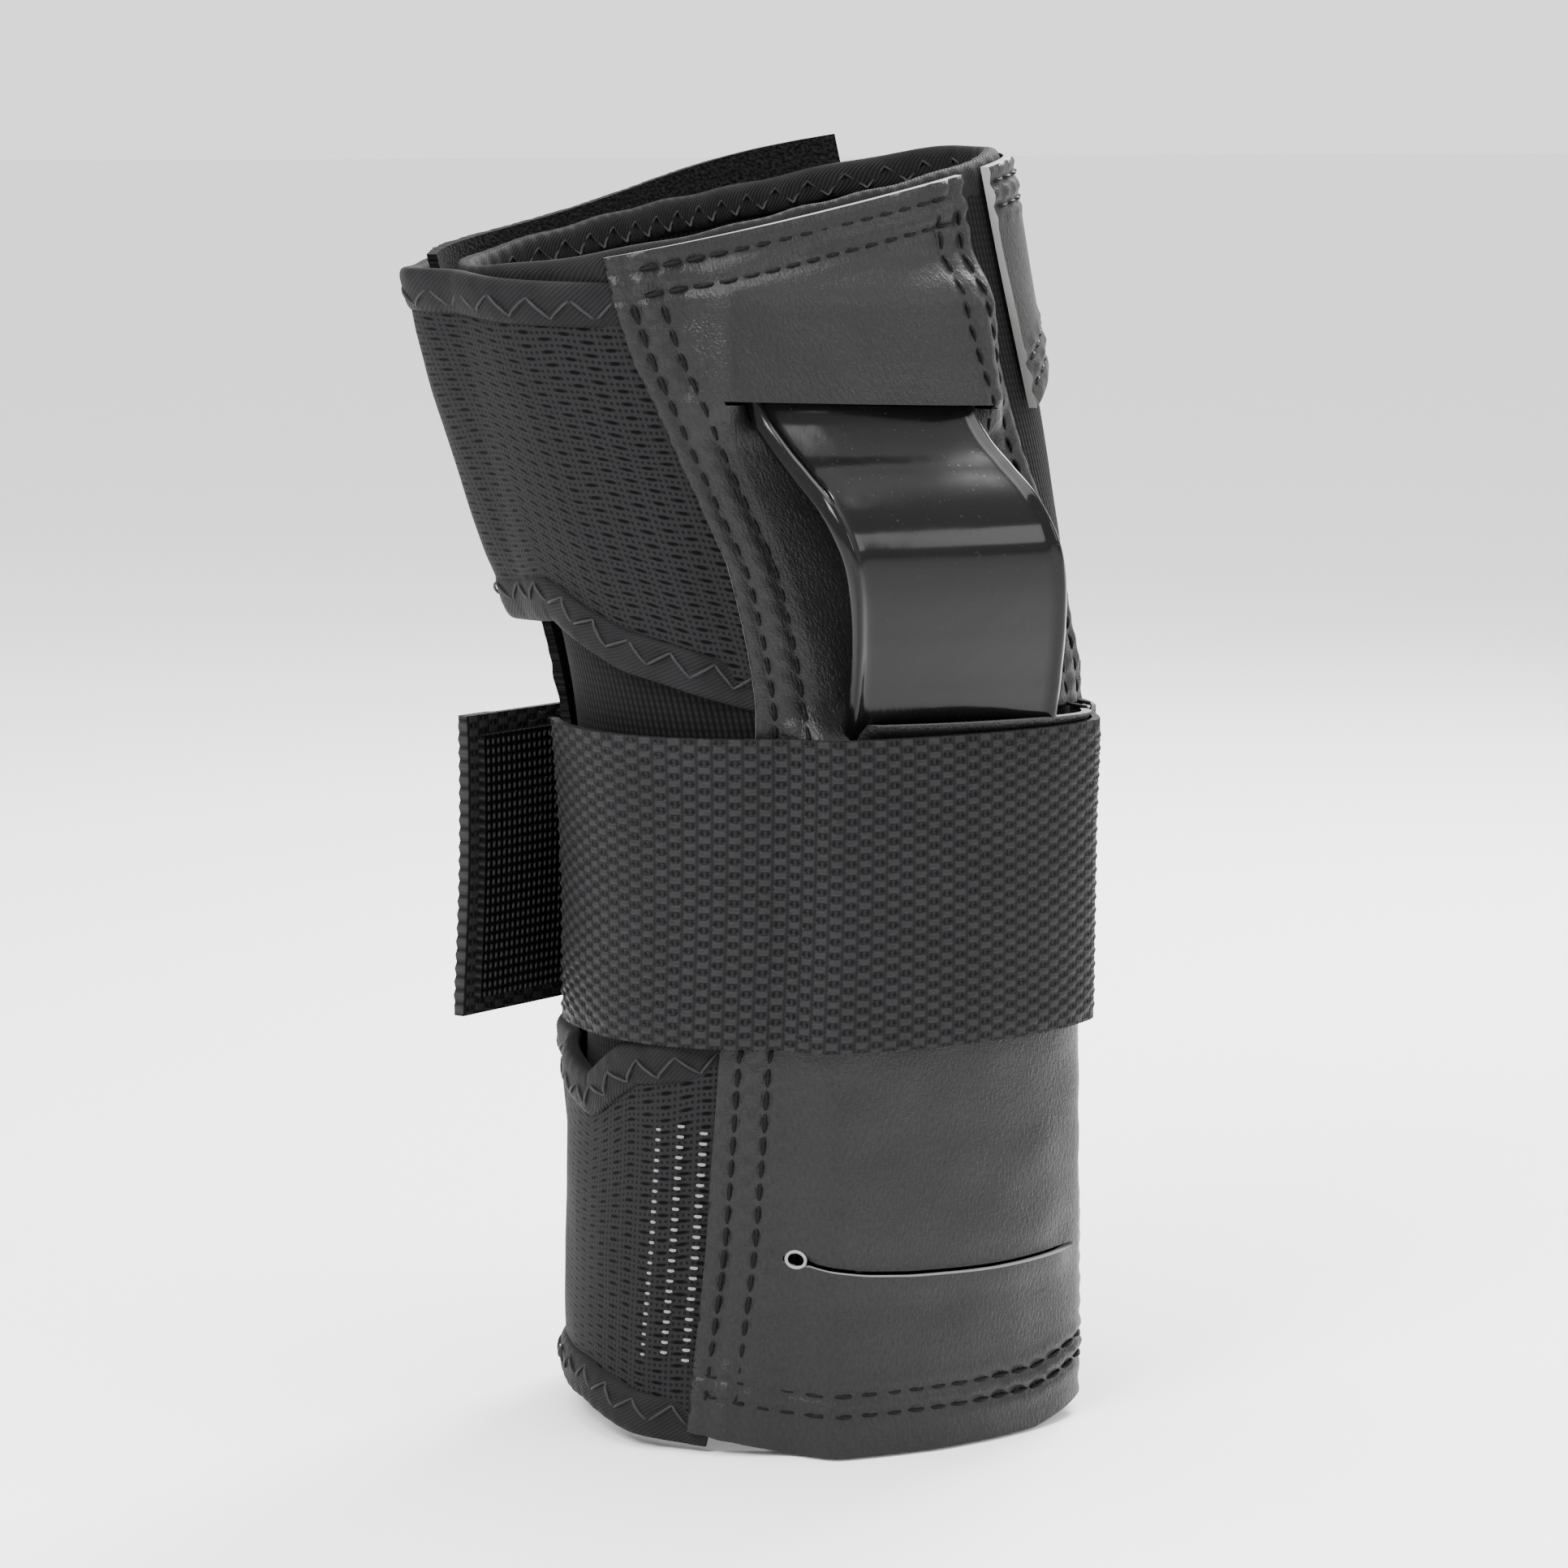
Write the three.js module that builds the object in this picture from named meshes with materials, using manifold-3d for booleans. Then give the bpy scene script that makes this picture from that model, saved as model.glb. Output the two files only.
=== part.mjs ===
// A wrist guard for skating and snowboarding: a padded sleeve that wraps the hand and forearm,
// a leather palm with an arched plastic splint, a loop panel over the back with a stay behind it,
// two hook flaps and one wide webbing strap. Millimetres, +Z from the forearm towards the
// fingers, +X to the thumb side, -Y to the palm and +Y to the back of the hand.
import * as THREE from 'three';
import { mergeVertices } from 'three/addons/utils/BufferGeometryUtils.js';
import Module from 'manifold-3d';

const wasm = await Module();
wasm.setup();

// ---- driving dimensions -------------------------------------------------------------------

// Inner wall of the sleeve: centre and half widths of the hand's section at each height.
const SECTIONS = [
  { z: 0, cx: 0, cy: 0, rx: 39.5, ry: 30.5 },
  { z: 60, cx: 0.5, cy: 0, rx: 39, ry: 29.5 },
  { z: 100, cx: 1.5, cy: 0.5, rx: 40, ry: 28.5 },
  { z: 130, cx: 1, cy: 1, rx: 42.5, ry: 28.5 },
  { z: 160, cx: -5, cy: 2, rx: 45, ry: 28 },
  { z: 190, cx: -12, cy: 3, rx: 47, ry: 27 },
  { z: 220, cx: -18, cy: 4, rx: 48, ry: 26 },
];
const SQUARENESS = 2.3; // superellipse exponent of every section

// Angles around the sleeve, in degrees from the thumb side towards the back of the hand.
const BACK = 90;
const PALM = 270;

const GAP = 0.5; // between one layer and the next
const LINER = 2; // padded lining
const SKIN = 1.5; // leather, mesh and webbing sewn onto the lining
const SKIN_IN = LINER + GAP;
const SPLINT = 2.5;
const STAY = 2;
const PANEL = 2;
const FLAP = 2.4;
const FLAP_BINDING = 3.2;
const BINDING_WIDTH = 7;
const STRAP = 1.8;
const HOOK = 1.1;

// How much higher the outer layers run over the splint's pocket and over the back panel.
const PALM_LIFT = 4.5;
const BACK_LIFT = STAY + PANEL + GAP;

const RIM_HEIGHT = 205; // of the hand opening, on the middle of the hand
const RIM_SLOPE = 0.2; // rise of the hand opening towards the thumb
const HAND_MIDDLE = -17;

const STRAP_LOW = 69;
const STRAP_HIGH = 120;
const STRAP_MIDDLE = (STRAP_LOW + STRAP_HIGH) / 2;
const STRAP_HINGE = 14; // degrees
const STRAP_LIFTS_OFF = 134; // degrees, where the pull tab leaves the sleeve
const TAB_LENGTH = 34;

const UPPER_HINGE_S = 44; // millimetres round from the middle of the back
const LOWER_HINGE_S = 26;

// The slack left at a fold between the sewn piece and the one that turns.
const FOLD_GAP = 0.6;
const FOLD_DEGREES = 0.4;

const HOLE = { angle: 28, z: 157, width: 25, height: 45, rim: 6 };

// ---- the sleeve's wall --------------------------------------------------------------------

const radians = THREE.MathUtils.degToRad;
const { smoothstep, lerp } = THREE.MathUtils;

function sectionAt(height) {
  const z = THREE.MathUtils.clamp(height, 0, SECTIONS.at(-1).z);
  const next = Math.max(1, SECTIONS.findIndex((section) => section.z >= z));
  const [a, b] = [SECTIONS[next - 1], SECTIONS[next]];
  const before = SECTIONS[Math.max(next - 2, 0)];
  const after = SECTIONS[Math.min(next + 1, SECTIONS.length - 1)];
  const span = b.z - a.z;
  const t = (z - a.z) / span;
  const hermite = (key) => {
    const slopeA = ((b[key] - before[key]) / (b.z - before.z)) * span;
    const slopeB = ((after[key] - a[key]) / (after.z - a.z)) * span;
    return (2 * t ** 3 - 3 * t ** 2 + 1) * a[key] + (t ** 3 - 2 * t ** 2 + t) * slopeA
      + (3 * t ** 2 - 2 * t ** 3) * b[key] + (t ** 3 - t ** 2) * slopeB;
  };
  return { cx: hermite('cx'), cy: hermite('cy'), rx: hermite('rx'), ry: hermite('ry') };
}

function innerPoint(degrees, z) {
  const { cx, cy, rx, ry } = sectionAt(z);
  const [c, s] = [Math.cos(radians(degrees)), Math.sin(radians(degrees))];
  const power = Math.abs(c / rx) ** SQUARENESS + Math.abs(s / ry) ** SQUARENESS;
  const r = power ** (-1 / SQUARENESS);
  return new THREE.Vector3(cx + r * c, cy + r * s, z);
}

function tangentAt(degrees, z) {
  return innerPoint(degrees + 0.05, z).sub(innerPoint(degrees - 0.05, z)).normalize();
}

function normalAt(degrees, z) {
  const along = tangentAt(degrees, z);
  return new THREE.Vector3(along.y, -along.x, 0);
}

// A point a given distance outside the sleeve's inner wall.
function wallPoint(degrees, z, off) {
  return innerPoint(degrees, z).addScaledVector(normalAt(degrees, z), off);
}

// The angle that lies s millimetres round the inner wall from a reference angle.
function angleAt(reference, s, z) {
  const step = Math.sign(s) || 1;
  let [angle, left] = [reference, Math.abs(s)];
  for (;;) {
    const length = innerPoint(angle, z).distanceTo(innerPoint(angle + step, z));
    if (length >= left) return angle + (step * left) / length;
    [angle, left] = [angle + step, left - length];
  }
}

const back = (s, z) => ({ angle: angleAt(BACK, s, z), z });
const palm = (s, z) => ({ angle: angleAt(PALM, s, z), z });

const rimAt = (degrees) => RIM_HEIGHT + RIM_SLOPE * (innerPoint(degrees, RIM_HEIGHT).x - HAND_MIDDLE);

// The cuff's lower edge is flat under the palm and the back, and rises at the two sides.
const cuffAt = (degrees) => Math.max(0, 8 * (Math.cos(radians(degrees)) ** 2 - 0.35));

// 1 where the splint is sewn under the leather, 0 away from it.
function overSplint(degrees, z) {
  const middle = splintCentre(z);
  const x = innerPoint(degrees, z).x;
  const onPalm = smoothstep(-Math.sin(radians(degrees)), 0.05, 0.3);
  const across = 1 - smoothstep(Math.abs(x - middle), SPLINT_HALF + 2, SPLINT_HALF + 12);
  const tail = 1 - smoothstep(z, 119, 126);
  const tip = smoothstep(z, 167, 175) * (1 - smoothstep(z, 190, 200));
  return onPalm * across * Math.max(tail, tip);
}

// 1 over the back panel, 0 away from it.
function overPanel(degrees, z) {
  const low = angleAt(BACK, -37, z);
  const high = angleAt(BACK, panelEdge(z), z);
  return smoothstep(degrees, low - 11, low - 2) * (1 - smoothstep(degrees, high + 2, high + 14));
}

const panelEdge = (z) => lerp(17, 50, z / 198);

// Where a skin sewn onto the sleeve begins, and where a closure lying over it begins.
const skinOff = (degrees, z) => SKIN_IN + PALM_LIFT * overSplint(degrees, z);
const coverOff = (degrees, z) => SKIN_IN + SKIN + GAP + BACK_LIFT * overPanel(degrees, z);

// The strap's webbing stays straight up and down, so it keeps the lift that it needs at one height.
const strapOff = (degrees) => coverOff(degrees, STRAP_MIDDLE)
  + (PALM_LIFT + GAP) * overSplint(degrees, STRAP_MIDDLE) + 0.4;

// ---- solids -------------------------------------------------------------------------------

// A closed grid of points: grid[i][j] on the outside and its twin on the inside.
function slab(outer, inner, closed = false) {
  const [rows, columns] = [outer.length, outer[0].length];
  const points = [...outer.flat(), ...inner.flat()];
  const at = (side, i, j) => side * rows * columns + (i % rows) * columns + j;
  const quads = [];
  for (let i = 0; i < (closed ? rows : rows - 1); i += 1) {
    for (let j = 0; j < columns - 1; j += 1) {
      quads.push([at(0, i, j), at(0, i + 1, j), at(0, i + 1, j + 1), at(0, i, j + 1)]);
      quads.push([at(1, i, j), at(1, i, j + 1), at(1, i + 1, j + 1), at(1, i + 1, j)]);
    }
    quads.push([at(0, i, 0), at(1, i, 0), at(1, i + 1, 0), at(0, i + 1, 0)]);
    const last = columns - 1;
    quads.push([at(0, i, last), at(0, i + 1, last), at(1, i + 1, last), at(1, i, last)]);
  }
  if (!closed) {
    for (let j = 0; j < columns - 1; j += 1) {
      const end = rows - 1;
      quads.push([at(0, 0, j), at(0, 0, j + 1), at(1, 0, j + 1), at(1, 0, j)]);
      quads.push([at(0, end, j), at(1, end, j), at(1, end, j + 1), at(0, end, j + 1)]);
    }
  }
  return facingOut(points, quads.flatMap(([a, b, c, d]) => [a, b, c, a, c, d]));
}

// The geometry of a closed body, turned so that its faces point out.
function facingOut(points, triangles) {
  let volume = 0;
  for (let i = 0; i < triangles.length; i += 3) {
    const [a, b, c] = triangles.slice(i, i + 3).map((index) => points[index]);
    volume += a.dot(b.clone().cross(c));
  }
  const geometry = new THREE.BufferGeometry().setFromPoints(points);
  geometry.setIndex(volume < 0 ? triangles.toReversed() : triangles);
  return geometry;
}

// Points along a closed outline, close enough together to follow the sleeve.
function spaced(outline) {
  const [aroundStep, upStep] = [7, 13]; // degrees, mm
  return outline.flatMap((from, i) => {
    const to = outline[(i + 1) % outline.length];
    const around = Math.abs(to.angle - from.angle) / aroundStep;
    const up = Math.abs(to.z - from.z) / upStep;
    const count = Math.max(1, Math.round(Math.max(around, up)));
    return Array.from({ length: count }, (_, k) => ({
      angle: lerp(from.angle, to.angle, k / count),
      z: lerp(from.z, to.z, k / count),
    }));
  });
}

// A sheet on the sleeve inside an outline: rings of points that shrink towards its middle.
function patch(outline, thickness, off, ringCount) {
  const edge = spaced(outline);
  const middle = {
    angle: edge.reduce((sum, point) => sum + point.angle, 0) / edge.length,
    z: edge.reduce((sum, point) => sum + point.z, 0) / edge.length,
  };
  const count = edge.length;
  const points = [];
  for (const extra of [thickness, 0]) {
    for (let ring = 0; ring <= ringCount; ring += 1) {
      const share = ring / ringCount;
      for (const point of ring < ringCount ? edge : [middle]) {
        const angle = lerp(point.angle, middle.angle, share);
        const z = lerp(point.z, middle.z, share);
        points.push(wallPoint(angle, z, off(angle, z) + extra));
      }
    }
  }
  const side = ringCount * count + 1;
  const triangles = [];
  for (let i = 0; i < count; i += 1) {
    const next = (i + 1) % count;
    for (let ring = 0; ring < ringCount - 1; ring += 1) {
      const [a, b] = [ring * count + i, ring * count + next];
      triangles.push(a, b, b + count, a, b + count, a + count);
      const [c, d] = [side + a, side + b];
      triangles.push(c, d + count, d, c, c + count, d + count);
    }
    const inmost = (ringCount - 1) * count;
    triangles.push(inmost + i, inmost + next, side - 1);
    triangles.push(side + inmost + next, side + inmost + i, 2 * side - 1);
    triangles.push(i, side + i, side + next, i, side + next, next);
  }
  return facingOut(points, triangles);
}

// A sheet on the sleeve with four sides: place(u, v) gives the spot u across and v up it.
function sheet(place, columns, rows, thickness, off) {
  const [outer, inner] = [[], []];
  for (let i = 0; i <= columns; i += 1) {
    const spots = Array.from({ length: rows + 1 }, (_, j) => place(i / columns, j / rows));
    outer.push(spots.map(({ angle, z }) => wallPoint(angle, z, off(angle, z) + thickness)));
    inner.push(spots.map(({ angle, z }) => wallPoint(angle, z, off(angle, z))));
  }
  return slab(outer, inner);
}

// A point on an open line of spots, with t from 0 to 1 and the same share for each stretch.
function onLine(spots, t) {
  const at = Math.min(Math.floor(t * (spots.length - 1)), spots.length - 2);
  return mixed(spots[at], spots[at + 1], t * (spots.length - 1) - at);
}

const mixed = (a, b, share) => ({ angle: lerp(a.angle, b.angle, share), z: lerp(a.z, b.z, share) });

// The place function of a sheet between a left line and a right line, both from low to high.
const spanning = (left, right) => (u, v) => mixed(onLine(left, v), onLine(right, v), u);

// A tape that follows a line on the sleeve: the line runs from place(0) to place(1).
function tape(place, steps, width, thickness, off) {
  const [outer, inner] = [[], []];
  for (let i = 0; i <= steps; i += 1) {
    const { angle, z } = place(i / steps);
    const across = [z - width / 2, z + width / 2];
    outer.push(across.map((height) => wallPoint(angle, height, off(angle, height) + thickness)));
    inner.push(across.map((height) => wallPoint(angle, height, off(angle, height))));
  }
  return slab(outer, inner);
}

// The tape sewn over the three free sides of a flap: a band inside the flap's outline.
function edging(sides, insetSides, thickness, off) {
  const band = (extra) => sides.map((point, i) => [point, insetSides[i]]
    .map(({ angle, z }) => wallPoint(angle, z, off(angle, z) + extra)));
  return slab(band(thickness), band(0));
}

function solidOf(geometry) {
  const bare = geometry.clone();
  bare.deleteAttribute('normal');
  bare.deleteAttribute('uv');
  const merged = mergeVertices(bare, 1e-4);
  return new wasm.Manifold(new wasm.Mesh({
    numProp: 3,
    vertProperties: merged.attributes.position.array,
    triVerts: new Uint32Array(merged.index.array),
  }));
}

function geometryOf(solid) {
  const { vertProperties, triVerts } = solid.getMesh();
  const geometry = new THREE.BufferGeometry();
  geometry.setAttribute('position', new THREE.BufferAttribute(vertProperties, 3));
  geometry.setIndex(new THREE.BufferAttribute(triVerts, 1));
  return geometry;
}

const cut = (geometry, ...tools) => geometryOf(
  tools.reduce((solid, tool) => solid.subtract(solidOf(tool)), solidOf(geometry)),
);

// ---- the palm splint ----------------------------------------------------------------------

const SPLINT_HALF = 20; // half of its width
const SPLINT_ENDS = { low: 14, high: 188 };
const BACKING = 0.6; // fabric between the lining and the splint
const SPLINT_SEAT = SKIN_IN + BACKING + GAP + SPLINT / 2; // from the wall to its mid surface

// The arch in side view: how far in front of the sleeve's axis it runs, and at what height.
const ARCH = new THREE.CatmullRomCurve3([
  [33.5, 96], [33.2, 112], [34.2, 121], [38.6, 129], [44.8, 138.5], [49.2, 146.5], [50.2, 152.5],
  [47, 158.5], [41, 163], [35, 167.5], [30.5, 175], [29, 186],
].map(([depth, z]) => new THREE.Vector3(0, -depth, z)), false, 'catmullrom', 0.5);

// The splint leans with the hand: its middle line shifts to the little finger above the wrist.
function splintCentre(z) {
  return lerp(8, -8, smoothstep(z, 110, 182));
}

function palmAngleAtX(x, z) {
  let [low, high] = [180, 360];
  for (let i = 0; i < 40; i += 1) {
    const middle = (low + high) / 2;
    if (innerPoint(middle, z).x < x) low = middle;
    else high = middle;
  }
  return low;
}

// Its mid surface: t runs from the forearm end to the hand end, u across from -1 to 1.
function splintPoint(u, t) {
  const tailShare = 0.42;
  const arch = ARCH.getPointAt(THREE.MathUtils.clamp((t - tailShare) / (1 - tailShare), 0, 1));
  const z = t < tailShare ? lerp(SPLINT_ENDS.low, 96, t / tailShare) : arch.z;
  const x = splintCentre(z) + SPLINT_HALF * u;
  const seated = wallPoint(palmAngleAtX(x, z), z, SPLINT_SEAT);
  const raised = new THREE.Vector3(x, arch.y + 0.8 * u * u, z);
  const lifted = smoothstep(z, 110, 124) * (1 - smoothstep(z, 166, 178));
  return seated.lerp(raised, lifted);
}

function splint(thickness, margin) {
  const [lengthSteps, widthSteps] = [30, 8];
  const [outer, inner] = [[], []];
  for (let i = 0; i <= lengthSteps; i += 1) {
    const t = i / lengthSteps;
    const rows = [[], []];
    for (let j = 0; j <= widthSteps; j += 1) {
      const u = (2 * j) / widthSteps - 1;
      const across = splintPoint(u + 0.01, t).sub(splintPoint(u - 0.01, t));
      const along = splintPoint(u, Math.min(t + 0.004, 1)).sub(splintPoint(u, Math.max(t - 0.004, 0)));
      const normal = across.clone().cross(along).normalize();
      const wide = splintPoint(u * (1 + margin / SPLINT_HALF), t);
      rows[0].push(wide.clone().addScaledVector(normal, thickness / 2));
      rows[1].push(wide.clone().addScaledVector(normal, -thickness / 2));
    }
    outer.push(rows[0]);
    inner.push(rows[1]);
  }
  return slab(outer, inner);
}

// ---- the sleeve's pieces ------------------------------------------------------------------

// A ring round the whole sleeve between two heights, each given at every angle.
function ring(low, high, rows, offIn, offOut) {
  const around = 46;
  const [outer, inner] = [[], []];
  for (let i = 0; i < around; i += 1) {
    const angle = (360 * i) / around;
    const heights = Array.from({ length: rows + 1 }, (_, j) => lerp(low(angle), high(angle), j / rows));
    outer.push(heights.map((z) => wallPoint(angle, z, offOut)));
    inner.push(heights.map((z) => wallPoint(angle, z, offIn)));
  }
  return slab(outer, inner, true);
}

// An oval bar square to the sleeve's wall at the thumb hole.
function thumbBar(grow) {
  const outline = new THREE.Shape();
  outline.absellipse(0, 0, HOLE.width / 2 + grow, HOLE.height / 2 + grow, 0, 2 * Math.PI);
  const bar = new THREE.ExtrudeGeometry(outline, { depth: 40, bevelEnabled: false, curveSegments: 14 });
  const out = normalAt(HOLE.angle, HOLE.z);
  const up = new THREE.Vector3(0, 0, 1);
  const place = new THREE.Matrix4().makeBasis(up.clone().cross(out), up, out);
  const start = innerPoint(HOLE.angle, HOLE.z).addScaledVector(out, -22);
  return bar.applyMatrix4(place.setPosition(start));
}

function thumbHoleBinding() {
  const shell = ring(() => 122, () => 192, 4, -0.8, 5.2);
  const outer = solidOf(thumbBar(HOLE.rim));
  return geometryOf(solidOf(shell).intersect(outer).subtract(solidOf(thumbBar(0))));
}

const CUFF = 7; // height of the tape round the forearm end

function liner() {
  const low = (angle) => cuffAt(angle) + CUFF + GAP;
  const high = (angle) => rimAt(angle) - 4.5;
  return cut(ring(low, high, 9, 0, LINER), thumbBar(HOLE.rim + GAP));
}

function palmLeather() {
  const left = [palm(-36, 1), palm(-33, 35), palm(-31, 66), palm(-27, 100), palm(-26, 124),
    palm(-27, 148), palm(-31, 166), palm(-34, 182), palm(-35, 197.5)];
  const right = [palm(42, 1), palm(43.5, 35), palm(44, 66), palm(43, 100), palm(40, 124),
    palm(36, 148), palm(31, 166), palm(29, 188), palm(31, 212.5)];
  const leather = sheet(spanning(left, right), 18, 16, SKIN, skinOff);
  return cut(leather, splint(SPLINT + 2 * GAP, 0.6), thumbBar(HOLE.rim + GAP));
}

function splintPocketBacking() {
  const edge = (x) => [8, 108].map((z) => ({ angle: palmAngleAtX(x, z), z }));
  const place = spanning(edge(splintCentre(0) - SPLINT_HALF), edge(splintCentre(0) + SPLINT_HALF));
  return sheet(place, 10, 3, BACKING, () => SKIN_IN);
}

function thumbLeather() {
  const place = (u, v) => {
    const angle = lerp(-28, 54, u);
    const lowest = 172 + 12 * Math.sin(Math.PI * u);
    return { angle, z: lerp(lowest, rimAt(angle) - 0.5, v) };
  };
  return cut(sheet(place, 16, 2, SKIN, () => SKIN_IN + 0.2), thumbBar(HOLE.rim + GAP));
}

function thumbSidePiece(low, high) {
  const left = [low, high].map((z) => ({ angle: -14, z }));
  const right = [low, high].map((z) => ({ angle: 28, z }));
  return sheet(spanning(left, right), 7, 3, SKIN, () => SKIN_IN);
}

function backStay() {
  const place = spanning([back(-18, 12), back(-14, 184)], [back(6, 12), back(18, 184)]);
  return sheet(place, 5, 6, STAY, () => SKIN_IN);
}

function loopPanel() {
  const left = [back(-38, 1), back(-37, 54), back(-36, 108), back(-35, 162), back(-34, 217.5)];
  const right = [back(17, 1), back(26, 54), back(35, 106), back(44, 156), back(50, 198)];
  const panel = sheet(spanning(left, right), 12, 12, PANEL, () => SKIN_IN + STAY + GAP);
  return cut(panel, thumbBar(HOLE.rim + GAP));
}

const sideOff = (angle, z) => SKIN_IN + (BACK_LIFT + 0.3) * overPanel(angle, z);

// The edges of the mesh on the little finger's side, from the flap's fold to the leather.
const SIDES = {
  upper: {
    low: [back(UPPER_HINGE_S + FOLD_GAP, 142), { angle: 180, z: 146 }, palm(-45, 138), palm(-28.5, 132)],
    high: [back(UPPER_HINGE_S + FOLD_GAP, 188), { angle: 180, z: 188 }, palm(-45, 187), palm(-36.5, 186.5)],
  },
  lower: {
    low: [back(LOWER_HINGE_S + FOLD_GAP, 13), { angle: 180, z: 13 }, palm(-45, 10), palm(-38.5, 9)],
    high: [back(LOWER_HINGE_S + FOLD_GAP, 58), { angle: 180, z: 54 }, palm(-45, 61), palm(-34, 63)],
  },
};

const sideMesh = ({ low, high }) => sheet(
  (u, v) => mixed(onLine(low, u), onLine(high, u), v), 21, 4, SKIN, sideOff,
);

// The tape round an edge of that mesh. It stands clear of the mesh, above or below it.
function sideBinding(line, direction) {
  const away = direction * (BINDING_WIDTH / 2 + GAP);
  const place = (t) => {
    const { angle, z } = onLine(line, t);
    return { angle, z: z + away };
  };
  return tape(place, 21, BINDING_WIDTH, SKIN + 0.6, sideOff);
}

// ---- the closures -------------------------------------------------------------------------

// The free outline of each flap, from the upper end of its fold round to the lower end.
const UPPER_FLAP = [
  [44, 196.5], [12, 204.5], [-19, 209], [-25.5, 207], [-29, 201], [-31, 180], [-30, 162],
  [-26.5, 155.5], [-17, 151], [12, 143.5], [44, 136.5],
];
const LOWER_FLAP = [
  [26, 66], [0, 66], [-22, 65], [-29.5, 63], [-34, 58], [-37, 35], [-39.5, 13],
  [-37.5, 8], [-32, 5.5], [0, 5], [26, 5],
];
const UPPER_MESH = [
  [44, 189], [12, 197], [-17, 201.5], [-20.5, 200], [-22, 197], [-24, 180], [-23, 165],
  [-20.5, 161], [-15, 158.5], [12, 151], [44, 144],
];
const LOWER_MESH = [
  [26, 59], [0, 59], [-21, 58], [-25, 57], [-27.5, 54], [-30, 35], [-32, 18],
  [-30.5, 14], [-27, 12.5], [0, 12], [26, 12],
];
const onBack = (points) => points.map(([s, z]) => back(s, z));

function refined(points, steps = 4) {
  return points.slice(0, -1).flatMap((from, i) => Array.from({ length: steps }, (_, k) => ({
    angle: lerp(from.angle, points[i + 1].angle, k / steps),
    z: lerp(from.z, points[i + 1].z, k / steps),
  }))).concat(points.at(-1));
}

function flapBinding(outline, mesh) {
  const clear = mesh.map(([s, z], i) => {
    const [outS, outZ] = outline[i];
    const share = GAP / BINDING_WIDTH;
    return [lerp(s, outS, share), lerp(z, outZ, share)];
  });
  return edging(refined(onBack(outline)), refined(onBack(clear)), FLAP_BINDING, coverOff);
}

const flapMesh = (mesh) => patch(onBack(mesh), FLAP, (angle, z) => coverOff(angle, z) + 0.4, 5);

const TAB_END = 170; // degrees, standing for the tab's free end

// Hook tape under the thumb end of a flap. It grips the loop panel.
function flapHook(left, right) {
  return sheet(spanning(left, right), 6, 3, HOOK, (angle, z) => coverOff(angle, z) - HOOK - 0.3);
}

function strapPoint(angle, z, off) {
  if (angle <= STRAP_LIFTS_OFF) return wallPoint(angle, z, strapOff(angle) + off);
  const leaving = wallPoint(STRAP_LIFTS_OFF, z, strapOff(STRAP_LIFTS_OFF) + off);
  const share = (angle - STRAP_LIFTS_OFF) / (TAB_END - STRAP_LIFTS_OFF);
  return leaving.addScaledVector(tangentAt(STRAP_LIFTS_OFF, STRAP_MIDDLE), TAB_LENGTH * share);
}

// A stretch of the strap or of what is sewn to it, between two angles and two heights.
function strapPiece(from, to, low, high, off, thickness) {
  const steps = Math.ceil((to - from) / 6);
  const [outer, inner] = [[], []];
  for (let i = 0; i <= steps; i += 1) {
    const angle = lerp(from, to, i / steps);
    const heights = [low, (low + high) / 2, high];
    outer.push(heights.map((z) => strapPoint(angle, z, off + thickness)));
    inner.push(heights.map((z) => strapPoint(angle, z, off)));
  }
  return slab(outer, inner);
}

// The sewn part goes from under the tab, round the palm, to the fold on the thumb side.
function sewnStrap() {
  const steps = 42;
  const [from, to] = [166 - 360, STRAP_HINGE - FOLD_DEGREES];
  const [outer, inner] = [[], []];
  for (let i = 0; i <= steps; i += 1) {
    const angle = lerp(from, to, i / steps);
    const off = strapOff(angle < -180 ? angle + 360 : angle);
    const heights = [STRAP_LOW, STRAP_MIDDLE, STRAP_HIGH];
    outer.push(heights.map((z) => wallPoint(angle, z, off + STRAP)));
    inner.push(heights.map((z) => wallPoint(angle, z, off)));
  }
  return cut(slab(outer, inner), splint(SPLINT + 2 * GAP, 0.6));
}

// ---- the assembly -------------------------------------------------------------------------

const COLOURS = {
  leather: { color: '#242424', roughness: 0.55 },
  mesh: { color: '#151515', roughness: 0.9 },
  binding: { color: '#1a1a1a', roughness: 0.85 },
  webbing: { color: '#1b1b1b', roughness: 0.8 },
  loop: { color: '#101010', roughness: 1 },
  hook: { color: '#141414', roughness: 0.7 },
  lining: { color: '#131313', roughness: 0.95 },
  splint: { color: '#0c0c0d', roughness: 0.15 },
  label: { color: '#d8401c', roughness: 0.8 },
};

const group = new THREE.Group();

function add(name, look, geometry) {
  const mesh = new THREE.Mesh(geometry, new THREE.MeshStandardMaterial(COLOURS[look]));
  mesh.name = name;
  group.add(mesh);
}

add('padded_liner', 'lining', liner());
add('hand_rim_binding', 'binding', ring((a) => rimAt(a) - 4, (a) => rimAt(a), 1, -0.6, LINER));
add('forearm_rim_binding', 'binding', ring(cuffAt, (a) => cuffAt(a) + CUFF, 1, -0.4, LINER));
add('thumb_hole_binding', 'binding', thumbHoleBinding());
add('palm_leather', 'leather', palmLeather());
add('splint_pocket_backing', 'lining', splintPocketBacking());
add('palm_splint', 'splint', splint(SPLINT, 0));
add('thumb_strap_leather', 'leather', thumbLeather());
add('thumb_side_webbing', 'webbing', thumbSidePiece(13, 68));
add('thumb_side_mesh', 'mesh', thumbSidePiece(71, 124));
add('back_stay', 'splint', backStay());
add('back_loop_panel', 'loop', loopPanel());

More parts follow.
